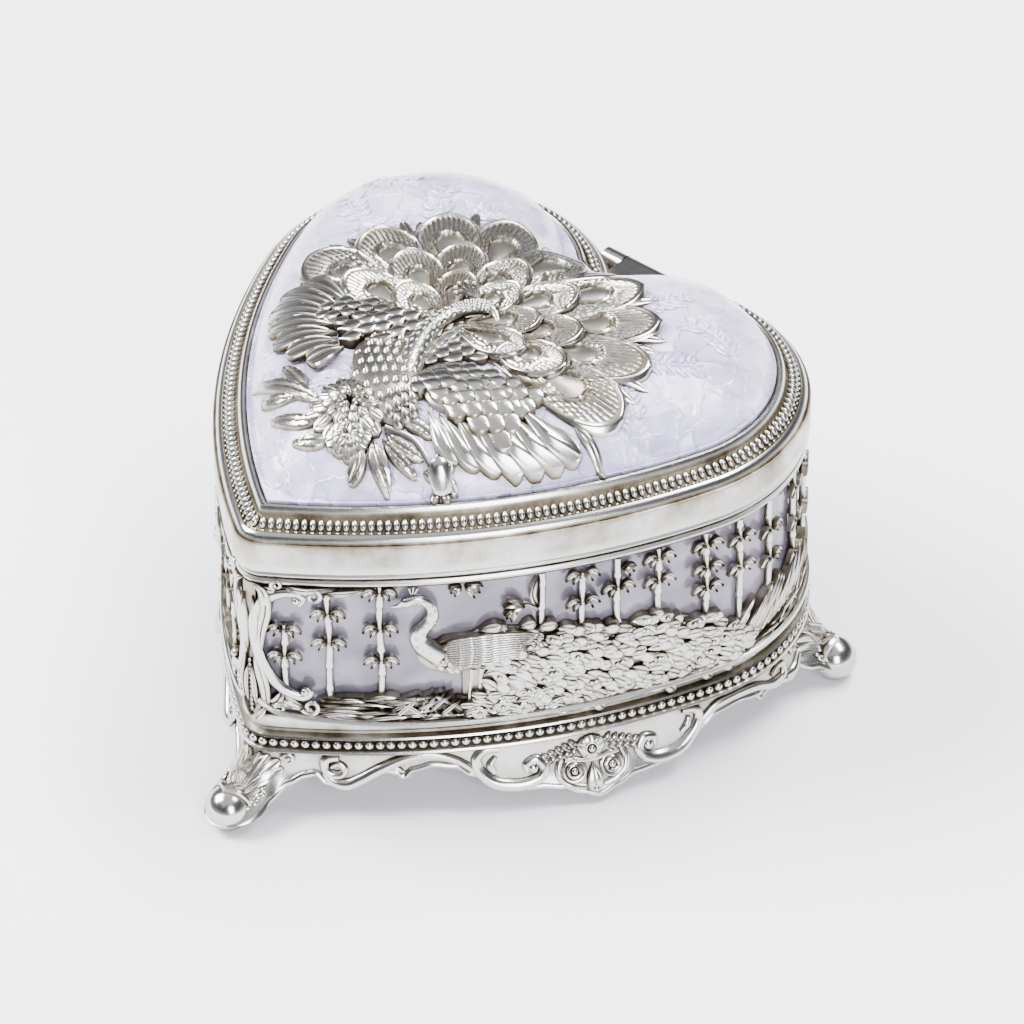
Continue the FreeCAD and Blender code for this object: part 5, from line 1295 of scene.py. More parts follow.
# ------------------------------------------------------------------ case wall
WALL_INSET, PANEL_INSET, LINER_THICK = 0.6, 1.9, 0.8
RAIL_TOP = (
    (1.9, PART_Z - 0.1, 0.9),
    (0.75, PART_Z - 0.05, 0.8),
    (0.4, PART_Z - 0.2, 0.2),
    (0.28, PART_Z - 0.5, 0.0),
    (0.4, PART_Z - 0.85, 0.2),
    (0.75, PART_Z - 1.0, 0.9),
    (0.8, PART_Z - 1.25, 0.9),
    (0.45, PART_Z - 1.4, 0.2),
    (0.25, PART_Z - 1.85, 0.0),
    (0.4, PART_Z - 2.35, 0.1),
    (0.75, PART_Z - 2.6, 0.7),
    (0.9, PART_Z - 3.0, 0.5),
    (1.1, PART_Z - 3.15, 0.7),
    (1.9, PART_Z - 3.2, 0.9),
    (4.0, PART_Z - 3.2, 0.5),
    (4.0, PART_Z - 2.0, 0.3),
    (1.9, PART_Z - 2.0, 0.6),
)
RAIL_LOW = (
    (1.9, FLANGE_TOP + 2.6, 0.5),
    (0.95, FLANGE_TOP + 2.55, 0.2),
    (0.8, FLANGE_TOP + 2.3, 0.15),
    (0.7, FLANGE_TOP + 1.2, 0.3),
    (0.75, FLANGE_TOP + 0.3, 0.45),
    (1.1, FLANGE_TOP, 0.95),
    (4.0, FLANGE_TOP, 0.6),
    (4.0, FLANGE_TOP + 1.0, 0.4),
    (1.9, FLANGE_TOP + 1.0, 0.6),
)
COLUMN_HALF = 1.5  # half-width of the solid column at the tip
LOBE_COLUMN = 96  # degrees on the lobe where the window ends
WINDOW_END = float(ARC_ENDS[1]) + LOBE_R * (math.radians(LOBE_COLUMN) - SIDE_END)


def wall_slab(casting, s0, s1, steps, z0, z1):
    """A piece of solid wall between two lengths round the heart."""
    s = np.linspace(s0, s1, steps)
    z = np.linspace(z0, z1, 5)
    grid = np.meshgrid(s, z, indexing="ij")
    flat = [
        np.stack([grid[0], grid[1], np.full(grid[0].shape, -inset)], -1)
        for inset in (WALL_INSET, PANEL_INSET)
    ]
    casting.block(flat[0], flat[1], 0.45, 0.5)


def mirrored(place):
    """The same relief on the left of the heart."""
    return lambda points: place(points * (-1, 1, 1))


def window_frame(casting):
    """Scrolled border of one window: C-scroll at the tip, long sill line and its volutes."""
    low = FLANGE_TOP
    c_line = [
        (8.6, 42.0), (9.2, 43.4), (7.6, 44.3), (5.2, 44.0), (2.9, 42.4), (1.5, 39.6), (1.1, 36.0),
        (1.6, 32.0), (3.1, 28.0), (5.5, 24.8), (8.3, 23.4), (9.7, 24.2), (9.2, 25.3)
    ]
    path = smooth_path(c_line, 80)
    thick = np.interp(np.linspace(0, 1, 80), (0, 0.1, 0.45, 0.9, 1), (0.4, 0.6, 1.3, 0.75, 0.4))
    casting.tube(at_height(path, -0.6), thick, sides=12, flat=0.7)
    casting.beads([(8.2, 43.0, -0.5), (9.0, 24.6, -0.5)], np.eye(3) * 0.8)
    sill = smooth_path(
        [
            (1.4, 22.6), (4.0, 20.6), (8.0, 19.6), (14.0, 18.9), (22, 18.3), (34, 18.0), (50, 17.9),
            (75, 17.9), (100, 18.0), (125, 18.4), (WINDOW_END, 19.4)
        ],
        150
    )
    casting.tube(at_height(sill, -0.3), 0.6, sides=8)
    inner = sill[26:] + (0, 1.3)
    casting.tube(at_height(inner, -0.6), 0.24, sides=6)
    roll = volute(10.9, 43.9, 1.5, 160, -1.3, tail=0.2)
    casting.tube(at_height(roll, -0.45), np.linspace(0.4, 0.28, len(roll)), sides=8)
    roll = volute(9.8, 21.5, 1.6, 200, 1.25, tail=0.2)
    casting.tube(at_height(roll, -0.45), np.linspace(0.45, 0.3, len(roll)), sides=8)
    roll = volute(4.9, 21.1, 1.15, 30, 1.3, tail=0.2)
    casting.tube(at_height(roll, -0.35), np.linspace(0.4, 0.28, len(roll)), sides=8)
    roll = volute(5.2, 46.0, 1.0, 250, -1.3, tail=0.2)
    casting.tube(at_height(roll, -0.3), np.linspace(0.34, 0.24, len(roll)), sides=8)
    for knots, width in (
        (((2.3, 21.4), (4.2, 22.2), (5.4, 24.2)), 0.9),
        (((4.9, 23.2), (6.6, 22.6), (8.6, 21.2)), 0.8),
        (((6.0, 45.6), (9.5, 45.1), (14.5, 45.5)), 0.6),
        (((12.2, 44.4), (15.5, 44.8), (20.0, 45.3)), 0.5),
        (((2.4, 44.8), (4.0, 45.0), (5.6, 44.6)), 0.6),
        (((11.4, 20.4), (14.5, 19.6), (19.0, 19.0)), 0.5),
    ):
        leaf(casting, knots, width, -0.9, -0.15, rows=14, cols=9, vein=0.3, edge=0.08, base=-1.6)
    end = WINDOW_END
    c_line = [
        (end - 5, 42.2), (end - 5.6, 43.6), (end - 3.6, 44.2), (end - 1.4, 42.0), (end - 0.4, 36.0),
        (end - 0.8, 28.0), (end - 2.8, 23.6), (end - 5.6, 22.8), (end - 6.2, 24.2)
    ]
    path = smooth_path(c_line, 70)
    thick = np.interp(np.linspace(0, 1, 70), (0, 0.1, 0.45, 0.9, 1), (0.3, 0.45, 0.9, 0.5, 0.3))
    casting.tube(at_height(path, -0.55), thick, sides=10, flat=0.8)
    casting.beads([(end - 5.0, 43.0, -0.5), (end - 5.4, 23.8, -0.5)], np.eye(3) * 0.6)
    s = np.linspace(end - 0.5, end - 0.45, 2)
    casting.tube(at_height(np.column_stack([s, (low + 2, low + 2.05)]), -0.6), 0.2)


def corner_leaves(casting):
    """Long lapped leaves up one side of the tip column."""
    for knots, width, low, high in (
        (((0.9, 46.2), (2.9, 44.6), (3.3, 41.0), (2.3, 36.0), (1.7, 30.5)), 0.95, -0.6, 0.2),
        (((1.0, 43.2), (1.6, 40.0), (1.2, 35.0), (0.7, 31.0)), 0.55, -0.5, 0.25),
        (((0.9, 32.0), (1.8, 29.0), (2.6, 25.0), (2.7, 20.4)), 0.9, -0.6, 0.15),
        (((0.4, 29.0), (0.8, 25.5), (1.0, 21.0)), 0.5, -0.5, 0.2),
        (((2.6, 21.2), (1.6, 19.4), (0.6, 18.0)), 0.6, -0.5, 0.1),
    ):
        leaf(casting, knots, width, low, high, rows=26, cols=11, blunt=0.45, vein=0.3, edge=0.1, base=-1.4)
    for z in np.arange(20.0, 30.0, 0.9):
        casting.beads([(0.0, z, -0.35)], np.diag([0.34, 0.4, 0.45]))


class MUSICBOX_OT_case(bpy.types.Operator):
    """Build the pierced wall with its rails, corner leaves and window scrolls"""

    bl_idname = "music_box.case"
    bl_label = "Case wall"

    def execute(self, context):
        rails = Casting()
        rails.hoop([p[:2] for p in RAIL_TOP], [p[2] for p in RAIL_TOP])
        rails.hoop([p[:2] for p in RAIL_LOW], [p[2] for p in RAIL_LOW])
        rails.place = on_wall
        wall_slab(rails, -COLUMN_HALF, COLUMN_HALF, 60, FLANGE_TOP + 2.4, PART_Z - 3.0)
        for way in (-1, 1):
            wall_slab(rails, way * WINDOW_END, way * HALF_ROUND, 60, FLANGE_TOP + 2.4, PART_Z - 3.0)
        rails.make("case_wall", MATERIALS["silver"], "case", ["body_frame"], crease=35)
        for name, place in (("right", on_wall), ("left", mirrored(on_wall))):
            border = Casting(place)
            window_frame(border)
            corner_leaves(border)
            rear_leaves(border)
            border.make(f"window_border_{name}", MATERIALS["silver"], "case")
        for name, way in (("right", 1), ("left", -1)):
            liner = Casting(on_wall)
            s = np.linspace(way * 0.9, way * (WINDOW_END + 1.5), 160)
            grid = np.meshgrid(s, np.linspace(FLANGE_TOP + 1.0, PART_Z - 3.2, 6), indexing="ij")
            sheets = [
                np.stack([grid[0], grid[1], np.full(grid[0].shape, -inset)], -1)
                for inset in (PANEL_INSET, PANEL_INSET + LINER_THICK)
            ]
            liner.block(*sheets)
            liner.make(
                f"{name}_tinted_liner", MATERIALS["tinted_acrylic"], "case",
                [f"{name}_liner"]
            )
        return {"FINISHED"}


def rear_leaves(casting):
    """Leaf scrolls on the solid wall beside the cleft."""
    start, end = WINDOW_END + 1.5, HALF_ROUND - 3.0
    for z, flip in ((25.5, 1), (39.0, -1)):
        roll = volute(start + 6, z, 3.0, 200 * flip, 1.5 * flip, 60, 0.15)
        casting.tube(at_height(roll, -0.5), np.linspace(0.6, 0.3, 60), sides=8)
        for k, reach in enumerate((4.0, 5.0, 4.2)):
            a = math.radians(-35 + 38 * k) * flip
            root = np.array([start + 8.0, z])
            tip = root + reach * heading(a)
            if tip[0] < end:
                leaf(
                    casting, [root, (root + tip) / 2 + (0.3, 0.4 * flip), tip], 1.0, -0.7, 0.1, vein=0.3,
                    edge=0.08, base=-1.4
                )
    casting.tube(at_height(smooth_path([(start, 22.0), (start + 2.0, 32.2), (start, 43.0)], 40), -0.5), 0.4)


# ------------------------------------------------------------------ garden scene in the windows
SCENE_BASE = -2.0
# each stem: place, foot, top, heights of its leaf pairs
STEMS = (
    (5.9, 24.6, 37.6, (36.6, 31.2)),
    (13.0, 20.3, 45.5, (40.0, 34.2)),
    (21.2, 18.9, 45.7, (44.2, 37.0, 30.6)),
    (47.0, 34.0, 45.5, ()),
    (53.6, 33.6, 44.2, (43.6, 38.2)),
    (59.5, 32.7, 45.4, (39.6,)),
    (66.5, 32.0, 45.4, (43.4, 38.8)),
    (75.0, 27.8, 45.5, (43.0, 38.4, 34.4)),
    (81.6, 25.8, 45.5, (41.6, 35.8)),
    (88.6, 19.2, 45.5, (39.6, 33.8)),
    (97.0, 19.0, 45.5, (42.6, 36.0, 29.4)),
    (106.0, 19.0, 45.5, (40.6, 33.0)),
    (115.5, 19.0, 45.5, (43.4, 37.4, 31.0)),
    (124.5, 19.5, 41.5, (40.6, 33.6, 28.0)),
)


def bamboo(casting, s, low, high, pairs):
    """A jointed stem with arched leaf pairs."""
    count = max(8, int((high - low) / 0.35))
    z = np.linspace(low, high, count)
    beat = np.mod(z - low, 4.6) / 4.6
    girth = 0.62 + 0.16 * np.exp(-((np.minimum(beat, 1 - beat) / 0.07) ** 2))
    lean = 0.12 * np.sin(z * 0.4 + s)
    casting.tube(np.column_stack([s + lean, z, np.full(count, -1.25)]), girth, sides=10, flat=0.9)
    for p in pairs:
        for way in (-1, 1):
            for reach, rise, drop, width in ((2.9, 1.0, -0.4, 0.5), (1.7, 0.2, -1.2, 0.34)):
                knots = [
                    (s + way * 0.2, p - 0.1), (s + way * reach * 0.55, p + rise),
                    (s + way * reach, p + drop)
                ]
                leaf(casting, knots, width, -0.75, -0.35, rows=14, cols=7, blunt=0.4, vein=0.3, base=-1.15)
        casting.beads([(s, p, -0.9)], np.diag([0.7, 0.36, 0.45]))


def sprig(casting, s, z, turn, reach=3.0):
    """A loose tuft of three leaves."""
    for a in (turn - 26, turn, turn + 26):
        a = math.radians(a)
        tip = (s + reach * math.cos(a), z + reach * math.sin(a))
        mid = ((s + tip[0]) / 2, (z + tip[1]) / 2 + 0.35)
        leaf(casting, [(s, z), mid, tip], 0.42, -0.8, -0.4, rows=12, cols=7, vein=0.3, base=-1.2)


def reeds(casting, draw, count, starts, heights, lengths, slopes, width=0.3):
    """Thin crossing blades over the ground."""
    for _ in range(count):
        x, z = draw.uniform(*starts), draw.uniform(*heights)
        a, reach = math.radians(draw.uniform(*slopes)), draw.uniform(*lengths)
        tip = (x + reach * math.cos(a), z + reach * math.sin(a))
        mid = ((x + tip[0]) / 2, (z + tip[1]) / 2 + draw.uniform(0.1, 0.5))
        low = draw.uniform(-1.0, -0.5)
        leaf(
            casting, [(x, z), mid, tip], width * draw.uniform(0.8, 1.3), low, low + 0.4, rows=12, cols=7,
            vein=0.3, base=-1.6
        )


TAIL_TOP = (
    (34.0, 34.2), (37.4, 36.2), (47.0, 34.6), (53.6, 34.0), (58.6, 32.0), (66.5, 32.2), (75.0, 28.4),
    (84.8, 20.6)
)
TAIL_LOW = (
    (34.0, 22.5), (37.4, 20.6), (47.0, 17.8), (53.6, 17.4), (58.6, 17.2), (66.5, 17.2), (75.0, 17.9),
    (84.8, 18.8)
)


def garden(casting, draw):
    """Bamboo, reeds and a strutting peacock with its long eyed train."""
    for stem in STEMS:
        bamboo(casting, *stem)
    sprig(casting, 34.6, 45.0, -30)
    sprig(casting, 34.2, 45.0, -150, 2.2)
    casting.tube([(46.4, 38.2, -1.3), (44.8, 39.4, -1.2), (43.2, 39.6, -1.2)], 0.3)
    sprig(casting, 44.2, 39.6, 172, 3.6)
    sprig(casting, 43.0, 39.0, 215, 2.4)
    leaf(casting, [(46.3, 38.8), (45.4, 41.8), (46.2, 44.8)], 0.5, -1.2, -0.5, vein=0.4, base=SCENE_BASE)
    sprig(casting, 60.2, 43.6, -30, 2.4)
    s = np.linspace(34.0, 84.8, 90)
    top = np.interp(s, *np.transpose(TAIL_TOP))
    low = np.interp(s, *np.transpose(TAIL_LOW))
    q = np.linspace(0, 1, 13)
    u = s[:, None] + 0 * q
    v = low[:, None] + (top - low)[:, None] * q
    casting.plate(u, v, -1.25 + 0.6 * np.sin(np.pi * q)[None, :] ** 0.6 + 0 * u, SCENE_BASE, 0.4)
    for n, s0 in enumerate(np.arange(82.0, 36.5, -1.5)):
        lo, hi = (float(np.interp(s0, *np.transpose(table))) for table in (TAIL_LOW, TAIL_TOP))
        for z0 in np.arange(lo + 0.7 + 0.7 * (n % 2), hi - 0.1, 1.4):
            share = (z0 - lo) / max(hi - lo, 1)
            a = math.radians(draw.uniform(-30, 18) - 12 + 14 * share)
            reach = draw.uniform(2.6, 4.0)
            x, z = s0 + draw.uniform(-0.5, 0.5), z0 + draw.uniform(-0.35, 0.35)
            crown = -0.75 + 0.75 * math.sin(math.pi * min(1, max(0, 0.1 + 0.8 * share)))
            tip = (x + reach * math.cos(a), z + reach * math.sin(a))
            leaf(
                casting, [(x, z), ((x + tip[0]) / 2, (z + tip[1]) / 2 + 0.2), tip], 0.9, crown - 0.3,
                crown + 0.0, rows=11, cols=7, blunt=0.66, vein=0.0 if n % 2 else 0.4, edge=0.12, base=-1.7,
                tilt=draw.uniform(0.1, 1.0), swell=0.45
            )
            if (n + int(z0)) % 7 == 0:
                casting.beads(
                    [(x + 0.62 * (tip[0] - x), z + 0.62 * (tip[1] - z), crown + 0.15)],
                    np.diag([0.5, 0.45, 0.3]), 0.1
                )
    trunk = [(26.6, 34.6), (29.5, 31.8), (34.5, 31.6), (41.0, 32.6), (48.0, 32.0)]
    leaf(casting, trunk, 3.5, -1.2, -0.7, rows=30, cols=19, blunt=0.42, vein=0.0, base=SCENE_BASE)
    for k in range(12):
        lift = 3.0 - 0.5 * k
        start = 27.6 + 0.13 * (k - 5) ** 2
        line = [
            (start, 32.6 + 0.25 * lift), (33.0, 32.0 + lift * 0.95), (40.0, 32.2 + lift * 0.95),
            (47.5, 31.6 + lift * 0.75)
        ]
        leaf(casting, line, 0.19, -0.45, 0.15, rows=34, cols=7, blunt=0.4, ribs=0.07, vein=0.0, base=-1.2)
    for n in range(48):
        f = n / 47
        x, z = (
            26.6 + 7.0 * f + draw.uniform(-0.5, 0.5), 34.2 - 4.4 * math.sin(f * 2.0)
            + draw.uniform(-1.1, 1.1)
        )
        leaf(
            casting, [(x, z), (x + 0.7, z - 0.2), (x + 1.3, z - 0.5)], 0.42, -0.4, 0.0, rows=8, cols=7,
            blunt=0.6, vein=0.0, edge=0.06, base=-1.2, tilt=0.4
        )
    neck = smooth_path(
        [
            (30.4, 31.6, -0.7), (27.6, 34.2, -0.6), (27.4, 36.4, -0.6), (29.4, 39.2, -0.6),
            (29.2, 41.6, -0.6), (27.4, 43.1, -0.6), (25.6, 42.7, -0.6), (24.3, 41.9, -0.8),
            (23.0, 41.5, -1.0)
        ],
        60
    )
    girth = np.interp(
        np.linspace(0, 1, 60), (0, 0.12, 0.3, 0.5, 0.66, 0.78, 0.86, 1),
        (2.0, 1.7, 1.15, 0.85, 0.8, 0.95, 0.5, 0.12)
    )
    casting.tube(neck, girth, sides=12, tarnish=0.1, flat=0.75)
    for k in range(4, 40, 2):
        casting.beads(
            [neck[k] + (draw.uniform(-0.6, 0.6), draw.uniform(-0.3, 0.3), girth[k] * 0.68)],
            np.diag([0.36, 0.3, 0.16]), 0.2
        )
    for reach, a in ((1.8, 84), (1.7, 62), (1.7, 106)):
        tip = np.array([26.4 + reach * math.cos(math.radians(a)), 43.5 + reach * math.sin(math.radians(a))])
        casting.tube([(26.4, 43.4, -0.9), (*tip, -0.9)], 0.16, sides=6)
        casting.beads([(*tip, -0.9)], np.eye(3) * 0.28)
    for foot_s in (35.3, 36.8):
        casting.tube(
            at_height(smooth_path([(foot_s + 0.4, 28.4), (foot_s, 25.0), (foot_s - 0.3, 21.2)], 14), -0.9),
            (0.8, 0.7, 0.6, 0.5, 0.45, 0.42, 0.4, 0.4, 0.4, 0.4, 0.4, 0.42, 0.45, 0.5), sides=8
        )
    bank_s = np.linspace(2.5, WINDOW_END, 120)
    bank_top = np.interp(
        bank_s, (2.5, 12, 20, 34, 46, 80, 100, WINDOW_END), (18.2, 19.4, 19.8, 21.5, 20.0, 20.5, 22.5, 20.5)
    )
    q = np.linspace(0, 1, 7)
    u, v = bank_s[:, None] + 0 * q, 17.6 + (bank_top - 17.6)[:, None] * q
    casting.plate(u, v, -1.35 + 0.3 * np.sin(np.pi * q) + 0 * u, -2.0, 0.85)
    reeds(casting, draw, 34, (9.0, 26.0), (18.0, 23.4), (5.0, 11.0), (-6, 7), 0.3)
    reeds(casting, draw, 16, (21.0, 30.0), (18.2, 22.0), (4.0, 7.0), (20, 60), 0.26)
    reeds(casting, draw, 12, (23.0, 32.0), (21.5, 24.5), (4.0, 7.0), (-58, -20), 0.26)
    for a, b in (
        ((22.4, 18.9), (27.6, 23.8)), ((23.6, 23.0), (28.6, 18.8)), ((30.0, 19.2), (33.6, 22.4)),
        ((33.4, 19.4), (38.2, 22.0))
    ):
        leaf(
            casting, [a, ((a[0] + b[0]) / 2, (a[1] + b[1]) / 2 + 0.2), b], 0.36, -0.6, -0.1, rows=16,
            cols=7, vein=0.3, base=-1.6
        )
    for n in range(30):
        x, z = draw.uniform(33, 48), draw.uniform(18.2, 23.4)
        a = math.radians(draw.uniform(-25, 35))
        leaf(
            casting,
            [
                (x, z), (x + 1.6 * math.cos(a), z + 1.6 * math.sin(a) + 0.2),
                (x + 3.0 * math.cos(a), z + 3.0 * math.sin(a))
            ],
            0.55, -0.5, 0.05, rows=10, cols=7, vein=0.35, edge=0.06, base=-1.6
        )
    for s0, z0 in ((36.5, 19.6), (40.2, 20.4), (43.6, 19.4)):
        for k in range(5):
            a = math.radians(90 + 72 * k)
            tip = (s0 + 1.3 * math.cos(a), z0 + 1.3 * math.sin(a))
            leaf(
                casting, [(s0, z0), ((s0 + tip[0]) / 2, (z0 + tip[1]) / 2), tip], 0.6, -0.1, 0.25, rows=8,
                cols=7, blunt=0.6, vein=0.1, edge=0.06, base=-1.0
            )
        casting.beads([(s0, z0, 0.15)], np.eye(3) * 0.32)
    reeds(casting, draw, 26, (44.0, 82.0), (17.9, 19.6), (5.0, 10.0), (-3, 6), 0.32)
    for n in range(30):
        x, z = 76.5 + 0.75 * n, 18.6 + 0.16 * n
        rise = draw.uniform(5.0, 10.5) * (1 if n < 22 else 0.8)
        leaf(
            casting, [(x, z), (x + rise * 0.42, z + rise * 0.6), (x + rise * 0.8, z + rise)], 0.5, -0.8,
            -0.2, rows=18, cols=7, vein=0.3, edge=0.05, base=-1.6
        )
    reeds(casting, draw, 46, (86.0, WINDOW_END - 9), (18.2, 22.6), (4.0, 8.0), (5, 60), 0.36)
    reeds(casting, draw, 30, (90.0, WINDOW_END - 9), (18.2, 24.0), (6.0, 11.0), (-8, 12), 0.34)


class MUSICBOX_OT_garden(bpy.types.Operator):
    """Build the garden scene with its peacock in both windows"""

    bl_idname = "music_box.garden"
    bl_label = "Garden scenes"

    def execute(self, context):
        for name, place in (("right", on_wall), ("left", mirrored(on_wall))):
            scene = Casting(place)
            scene.side_tone = 0.4
            garden(scene, np.random.default_rng(11))
            scene.make(f"garden_{name}", MATERIALS["silver"], "case", [f"{name}_scene"])
        return {"FINISHED"}


# ------------------------------------------------------------------ base
BASE_PROFILE = (
    (4.0, FLANGE_TOP, 0.6),
    (1.15, FLANGE_TOP, 0.6),
    (1.25, FLANGE_TOP - 0.4, 0.4),
    (1.1, FLANGE_TOP - 0.75, 0.5),
    (0.6, FLANGE_TOP - 0.95, 0.4),
    (0.1, FLANGE_TOP - 1.05, 0.0),
    (-0.1, FLANGE_TOP - 1.3, 0.0),
    (0.05, FLANGE_TOP - 1.55, 0.3),
    (0.75, FLANGE_TOP - 1.7, 0.9),
    (1.0, FLANGE_TOP - 2.1, 1.0),
    (1.05, FLANGE_TOP - 2.9, 1.0),
    (0.8, FLANGE_TOP - 3.3, 0.9),
    (0.3, FLANGE_TOP - 3.55, 0.6),
    (-0.15, FLANGE_TOP - 3.75, 0.0),
    (-0.3, FLANGE_TOP - 4.05, 0.0),
    (-0.1, FLANGE_TOP - 4.4, 0.3),
    (0.6, FLANGE_TOP - 4.6, 0.8),
    (3.0, FLANGE_TOP - 4.6, 0.8),
    (3.0, PLATE_TOP, 0.7),
    (4.0, PLATE_TOP, 0.7),
)
LOBE_FOOT_ANGLE = 31.5  # degrees behind the lobe centre's side
LOBE_FOOT = float(ARC_ENDS[1]) + LOBE_R * (math.radians(LOBE_FOOT_ANGLE) - SIDE_END)
# lower edge of the apron from the tip along one side, as place and height
LOW_EDGE = (
    (0.0, 2.6), (1.6, 3.0), (3.4, 4.6), (6.0, 6.4), (8.6, 7.6), (10.2, 8.0), (12.0, 6.6), (15.0, 5.9),
    (18.0, 7.2), (21.0, 8.6), (23.0, 8.4), (24.2, 7.5), (25.6, 8.6), (28.8, 9.3), (32.4, 8.8), (35.2, 7.2),
    (38.8, 4.9), (41.7, 4.1), (46.0, 4.0), (49.5, 3.5), (52.0, 2.5), (55.0, 1.6), (58.0, 2.5), (61.0, 3.5),
    (67.0, 3.8), (70.0, 4.9), (73.0, 7.2), (76.5, 8.8), (80.5, 9.2), (84.0, 8.6), (85.2, 7.5), (86.6, 8.2),
    (90.0, 7.4), (93.5, 6.4), (96.5, 7.8),
)
# the same round a rear foot, from the foot on
FOOT_EDGE = (
    (-8.0, 7.4), (-4.5, 5.2), (-2.0, 3.4), (0.0, 2.6), (2.0, 3.4), (4.5, 5.2), (8.0, 7.4), (11.5, 6.4),
    (15.0, 7.8), (18.0, 9.0), (22.0, 8.4), (26.0, 6.0), (29.0, 5.4), (33.0, 7.4), (37.0, 9.2),
)
APRON_EDGE = (*LOW_EDGE, *((LOBE_FOOT + d, z) for d, z in FOOT_EDGE), (HALF_ROUND + 0.1, 9.6))


def flare(s):
    """How far the apron spreads at its foot, more at the feet and a little at the middle of each long
    side.
    """
    d = np.abs(s)
    return 3.4 + 9.6 * np.exp(-((d / 3.4) ** 2)) + 7.2 * np.exp(
        -(((d - LOBE_FOOT) / 5.2) ** 2)
    ) + 0.9 * np.exp(-(((d - 55) / 9) ** 2))


def apron_out(s, z):
    """Face of the apron off the lid's band."""
    drop = np.clip((PLATE_TOP - 0.3 - z) / 11.0, 0, 1.1)
    return -0.9 + flare(s) * drop**1.45


def on_apron(points):
    """(s, z, height) off the apron's face to the row frame, in millimetres."""
    s, z, h = points[:, 0], points[:, 1], points[:, 2]
    return on_wall(np.column_stack([s, z, apron_out(s, z) + h]))


def low_edge(s):
    """Height of the apron's lower edge."""
    places, heights = np.transpose(APRON_EDGE)
    return eased(places, heights, np.abs(s))


CARTOUCHE_PLACE = 54.4  # from the tip, along the long side
SCROLL_GIRTH = 1.3  # over the widths given for each scroll


def scroll_line(casting, knots, widths, height=0.15):
    """A tapering raised line on the apron."""
    path = smooth_path(knots, 14 * len(knots))
    t = np.linspace(0, 1, len(path))
    casting.tube(
        at_height(path, height), SCROLL_GIRTH * np.interp(t, np.linspace(0, 1, len(widths)), widths),
        sides=9, flat=0.85
    )


def side_scrolls(casting):
    """Scrolls along one long side of the apron, with the flower cartouche at its middle."""
    lines = (
        (
            [
                (12.6, 9.4), (13.8, 10.0), (14.8, 9.2), (14.3, 8.2), (12.6, 8.2), (11.6, 9.4), (12.0, 10.8),
                (13.8, 11.2)
            ],
            (0.3, 0.4, 0.5, 0.6, 0.6, 0.5)
        ),
        (
            [
                (11.6, 8.4), (13.0, 7.0), (15.2, 6.6), (17.6, 7.6), (20.6, 9.2), (25.0, 11.0), (29.0, 11.2),
                (33.0, 9.8), (35.6, 7.8)
            ],
            (0.4, 0.7, 0.7, 0.55, 0.4)
        ),
        (
            [
                (39.6, 11.2), (37.2, 11.2), (35.8, 9.8), (36.4, 7.6), (38.8, 5.6), (42.6, 4.9), (45.6, 5.6),
                (46.6, 7.2), (45.4, 8.6), (43.8, 8.0), (44.0, 6.9)
            ],
            (0.45, 0.65, 0.8, 0.7, 0.6, 0.4)
        ),
        ([(38.9, 9.9), (38.0, 8.6), (38.6, 7.2)], (0.3, 0.5, 0.3)),
        (
            [
                (70.4, 11.2), (72.6, 10.8), (73.2, 9.2), (71.8, 7.0), (69.2, 5.2), (65.8, 4.8), (63.4, 5.6),
                (62.4, 7.2), (63.4, 8.6), (65.0, 8.2), (65.0, 7.1)
            ],
            (0.45, 0.65, 0.8, 0.7, 0.6, 0.4)
        ),
        ([(71.4, 9.8), (71.0, 8.6), (69.8, 7.6)], (0.3, 0.5, 0.3)),
        (
            [(73.6, 8.4), (76.5, 10.2), (80.5, 10.6), (84.5, 10.0), (88.0, 8.6), (91.0, 8.4)],
            (0.4, 0.6, 0.6, 0.55, 0.4)
        ),
        ([(88.6, 9.8), (90.4, 10.6), (92.0, 9.8), (91.6, 8.4), (89.8, 8.2)], (0.3, 0.4, 0.5, 0.5, 0.4)),
        ([(92.0, 7.6), (94.5, 7.4), (96.8, 8.8)], (0.4, 0.6, 0.4)),
    )
    for knots, widths in lines:
        scroll_line(casting, knots, widths)
    for s, z in ((44.8, 7.4), (64.0, 7.4)):
        casting.beads([(s, z, 0.25)], np.diag([0.95, 0.95, 0.75]))
    for s, z, way in ((23.0, 8.9, 1), (86.0, 8.6, -1)):
        leaf(
            casting, [(s - 2.4 * way, z + 0.4), (s, z - 0.1), (s + 1.6 * way, z - 1.0)], 0.7, -0.2, 0.5,
            vein=0.3, edge=0.1, base=-0.9
        )
    cartouche(casting, CARTOUCHE_PLACE)


